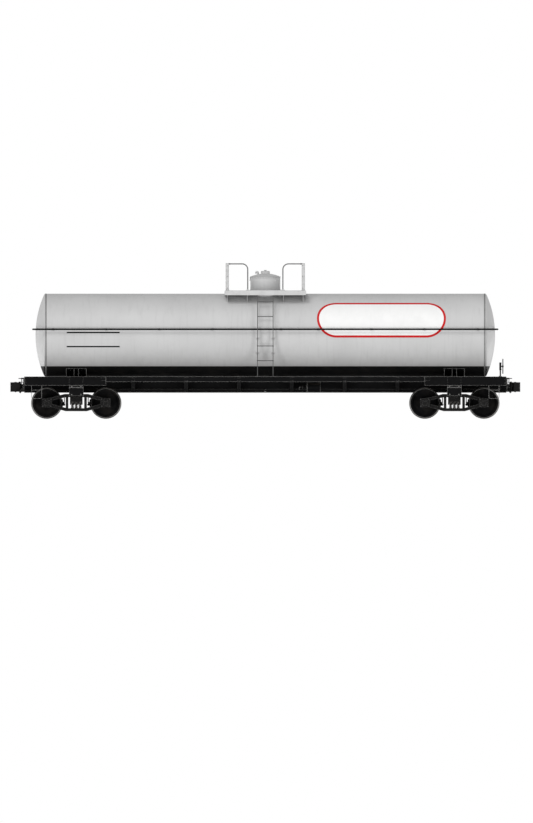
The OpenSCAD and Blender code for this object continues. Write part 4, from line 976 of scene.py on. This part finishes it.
def add_frame_ribs(truck, end):
    """The cast flanges that run along the side frames' edges, the spring seats and the column bolts."""
    shape = Shape()
    inner, outer = FRAME_FACE - 0.004, FRAME_FACE + 0.018
    for side in SIDES:
        low_edge = [(0, FRAME_LOW.z + 0.009), (side * 0.300, FRAME_LOW.z + 0.009),
                    (side * (HALF_WHEELBASE - 0.134), 0.336)]
        top_edge = [(0, FRAME_HIGH.z - 0.009), (side * 0.328, FRAME_HIGH.z - 0.009),
                    (side * (HALF_WHEELBASE - 0.116), 0.590)]
        window = [(side * 0.292, 0.300), (side * (HALF_WHEELBASE - 0.144), 0.412),
                  (side * (HALF_WHEELBASE - 0.144), 0.530), (side * 0.292, 0.620), (side * 0.292, 0.300)]
        column = [(side * 0.233, 0.292), (side * 0.233, 0.612)]
        for line in (low_edge, top_edge, window, column):
            rib(shape, line, inner, outer, 0.018)
        for z in (0.36, 0.46, 0.56):
            shape.bolt((side * 0.262, FRAME_FACE, z), (0, 1, 0), 0.010)
    shape.box((-0.218, 0.218), (FRAME_FACE - 0.12, FRAME_FACE + 0.020), (0.282, 0.2995), 0.004)
    shape.again(CROSSWISE).moved(Matrix.Translation((end * TRUCK_X, 0, 0)))
    shape.piece(f"{truck}_frame_ribs", truck, "cast_steel", "cast_steel")


# Couplers

def add_coupler_fittings(coupler, end):
    """The pin's head, the lock's lifter and the shank's ribs."""
    pin = Vector((7.090, -0.105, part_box("b_coupler")[1].z))
    shape = Shape()
    shape.rod(pin + Vector((0, 0, -0.012)), pin + Vector((0, 0, 0.004)), 0.033)
    for shank_z in (0.8217, 0.9817):
        shape.box((6.42, 6.92), (-0.030, 0.030), (shank_z - 0.004, shank_z + 0.004), 0.002)
    shape.rod((6.960, 0.02, 1.030), (6.960, 0.02, 1.050), 0.022)
    shape.rod((6.940, -0.01, 1.046), (7.000, -0.01, 1.046), 0.010)
    shape.moved(Matrix() if end > 0 else HALF_TURN)
    shape.piece(f"{coupler}_fittings", coupler, "cast_steel", "cast_steel")


add_seams()
add_sign()
add_number_bars()
add_handrail_fittings()
add_housing_fittings()
add_manway_bolts()
add_cover_fittings()
add_platform_fittings()
add_railing_joints()
add_ladder_fittings()
add_running_boards()
add_end_decks()
add_frame_rivets()
add_saddle_fittings()
add_bracket_fittings()
add_end_fittings()
add_brake_piping()
add_hand_brake_fittings()
for truck_name, which_end in TRUCKS.items():
    add_springs(truck_name, which_end)
    add_journal_lids(truck_name, which_end)
    add_frame_ribs(truck_name, which_end)
for coupler_name, which_end in (("coupler_a", -1), ("coupler_b", 1)):
    add_coupler_fittings(coupler_name, which_end)


# Floor, light and camera

def add_floor():
    """A pale floor under the wheels."""
    size = 240.0
    floor = bmesh.new()
    bmesh.ops.create_grid(floor, x_segments=1, y_segments=1, size=size)
    mesh = bpy.data.meshes.new("floor")
    floor.to_mesh(mesh)
    plane = bpy.data.objects.new("floor", mesh)
    bpy.context.scene.collection.objects.link(plane)
    f = Finish("floor", Specular_IOR_Level=0.1)
    tone = f.mix(f.remap(f.noise(0.3, 3), 0.3, 0.7), (0.86, 0.86, 0.86, 1), (0.83, 0.83, 0.83, 1))
    mesh.materials.append(f.finish(tone, 0.9))
    plane.visible_shadow = False    # the low lights shine up through it


def add_world(light, strength):
    """Soft light from all round, behind a backdrop the camera sees as white."""
    world = bpy.data.worlds.new("studio")
    bpy.context.scene.world = world
    world.use_nodes = True
    nodes, links = world.node_tree.nodes, world.node_tree.links
    backdrop = nodes["Background"]
    backdrop.inputs["Color"].default_value = (1, 1, 1, 1)
    soft = nodes.new("ShaderNodeBackground")
    soft.inputs["Color"].default_value = light
    soft.inputs["Strength"].default_value = strength
    rays = nodes.new("ShaderNodeLightPath")
    blend = nodes.new("ShaderNodeMixShader")
    links.new(rays.outputs["Is Camera Ray"], blend.inputs["Fac"])
    links.new(soft.outputs[0], blend.inputs[1])
    links.new(backdrop.outputs[0], blend.inputs[2])
    links.new(blend.outputs[0], nodes["World Output"].inputs["Surface"])


def add_sun(name, direction, strength, softness):
    """A soft sun shining along a direction."""
    lamp = bpy.data.lights.new(name, "SUN")
    lamp.energy = strength
    lamp.angle = math.radians(softness)
    sun = bpy.data.objects.new(name, lamp)
    sun.rotation_euler = Vector(direction).to_track_quat("-Z", "Y").to_euler()
    bpy.context.scene.collection.objects.link(sun)


def add_camera():
    """The drawing's square-on view of the near side, with no perspective."""
    data = bpy.data.cameras.new("camera")
    data.type = "ORTHO"
    data.ortho_scale = VIEW_HEIGHT
    data.clip_end = 400
    camera = bpy.data.objects.new("camera", data)
    camera.location = (VIEW_X, -100, VIEW_Z)
    camera.rotation_euler = (math.radians(90), 0, 0)
    bpy.context.scene.collection.objects.link(camera)
    bpy.context.scene.camera = camera


VIEW_HEIGHT = 23.357            # metres along the long side of the picture
VIEW_X, VIEW_Z = 0.034, 0.207   # the point in its middle

add_floor()
add_world((1.0, 1.0, 1.0, 1), 0.45)
add_sun("key", (0.35, 0.75, -0.85), 1.05, 25)
add_sun("front_left", (0.7, 1.0, 0.28), 0.80, 24)
add_sun("front_right", (-0.7, 1.0, 0.28), 0.80, 24)
add_sun("back_left", (0.7, -1.0, 0.3), 0.95, 30)
add_sun("back_right", (-0.7, -1.0, 0.3), 0.95, 30)
add_camera()

bpy.context.scene.view_settings.view_transform = "Standard"
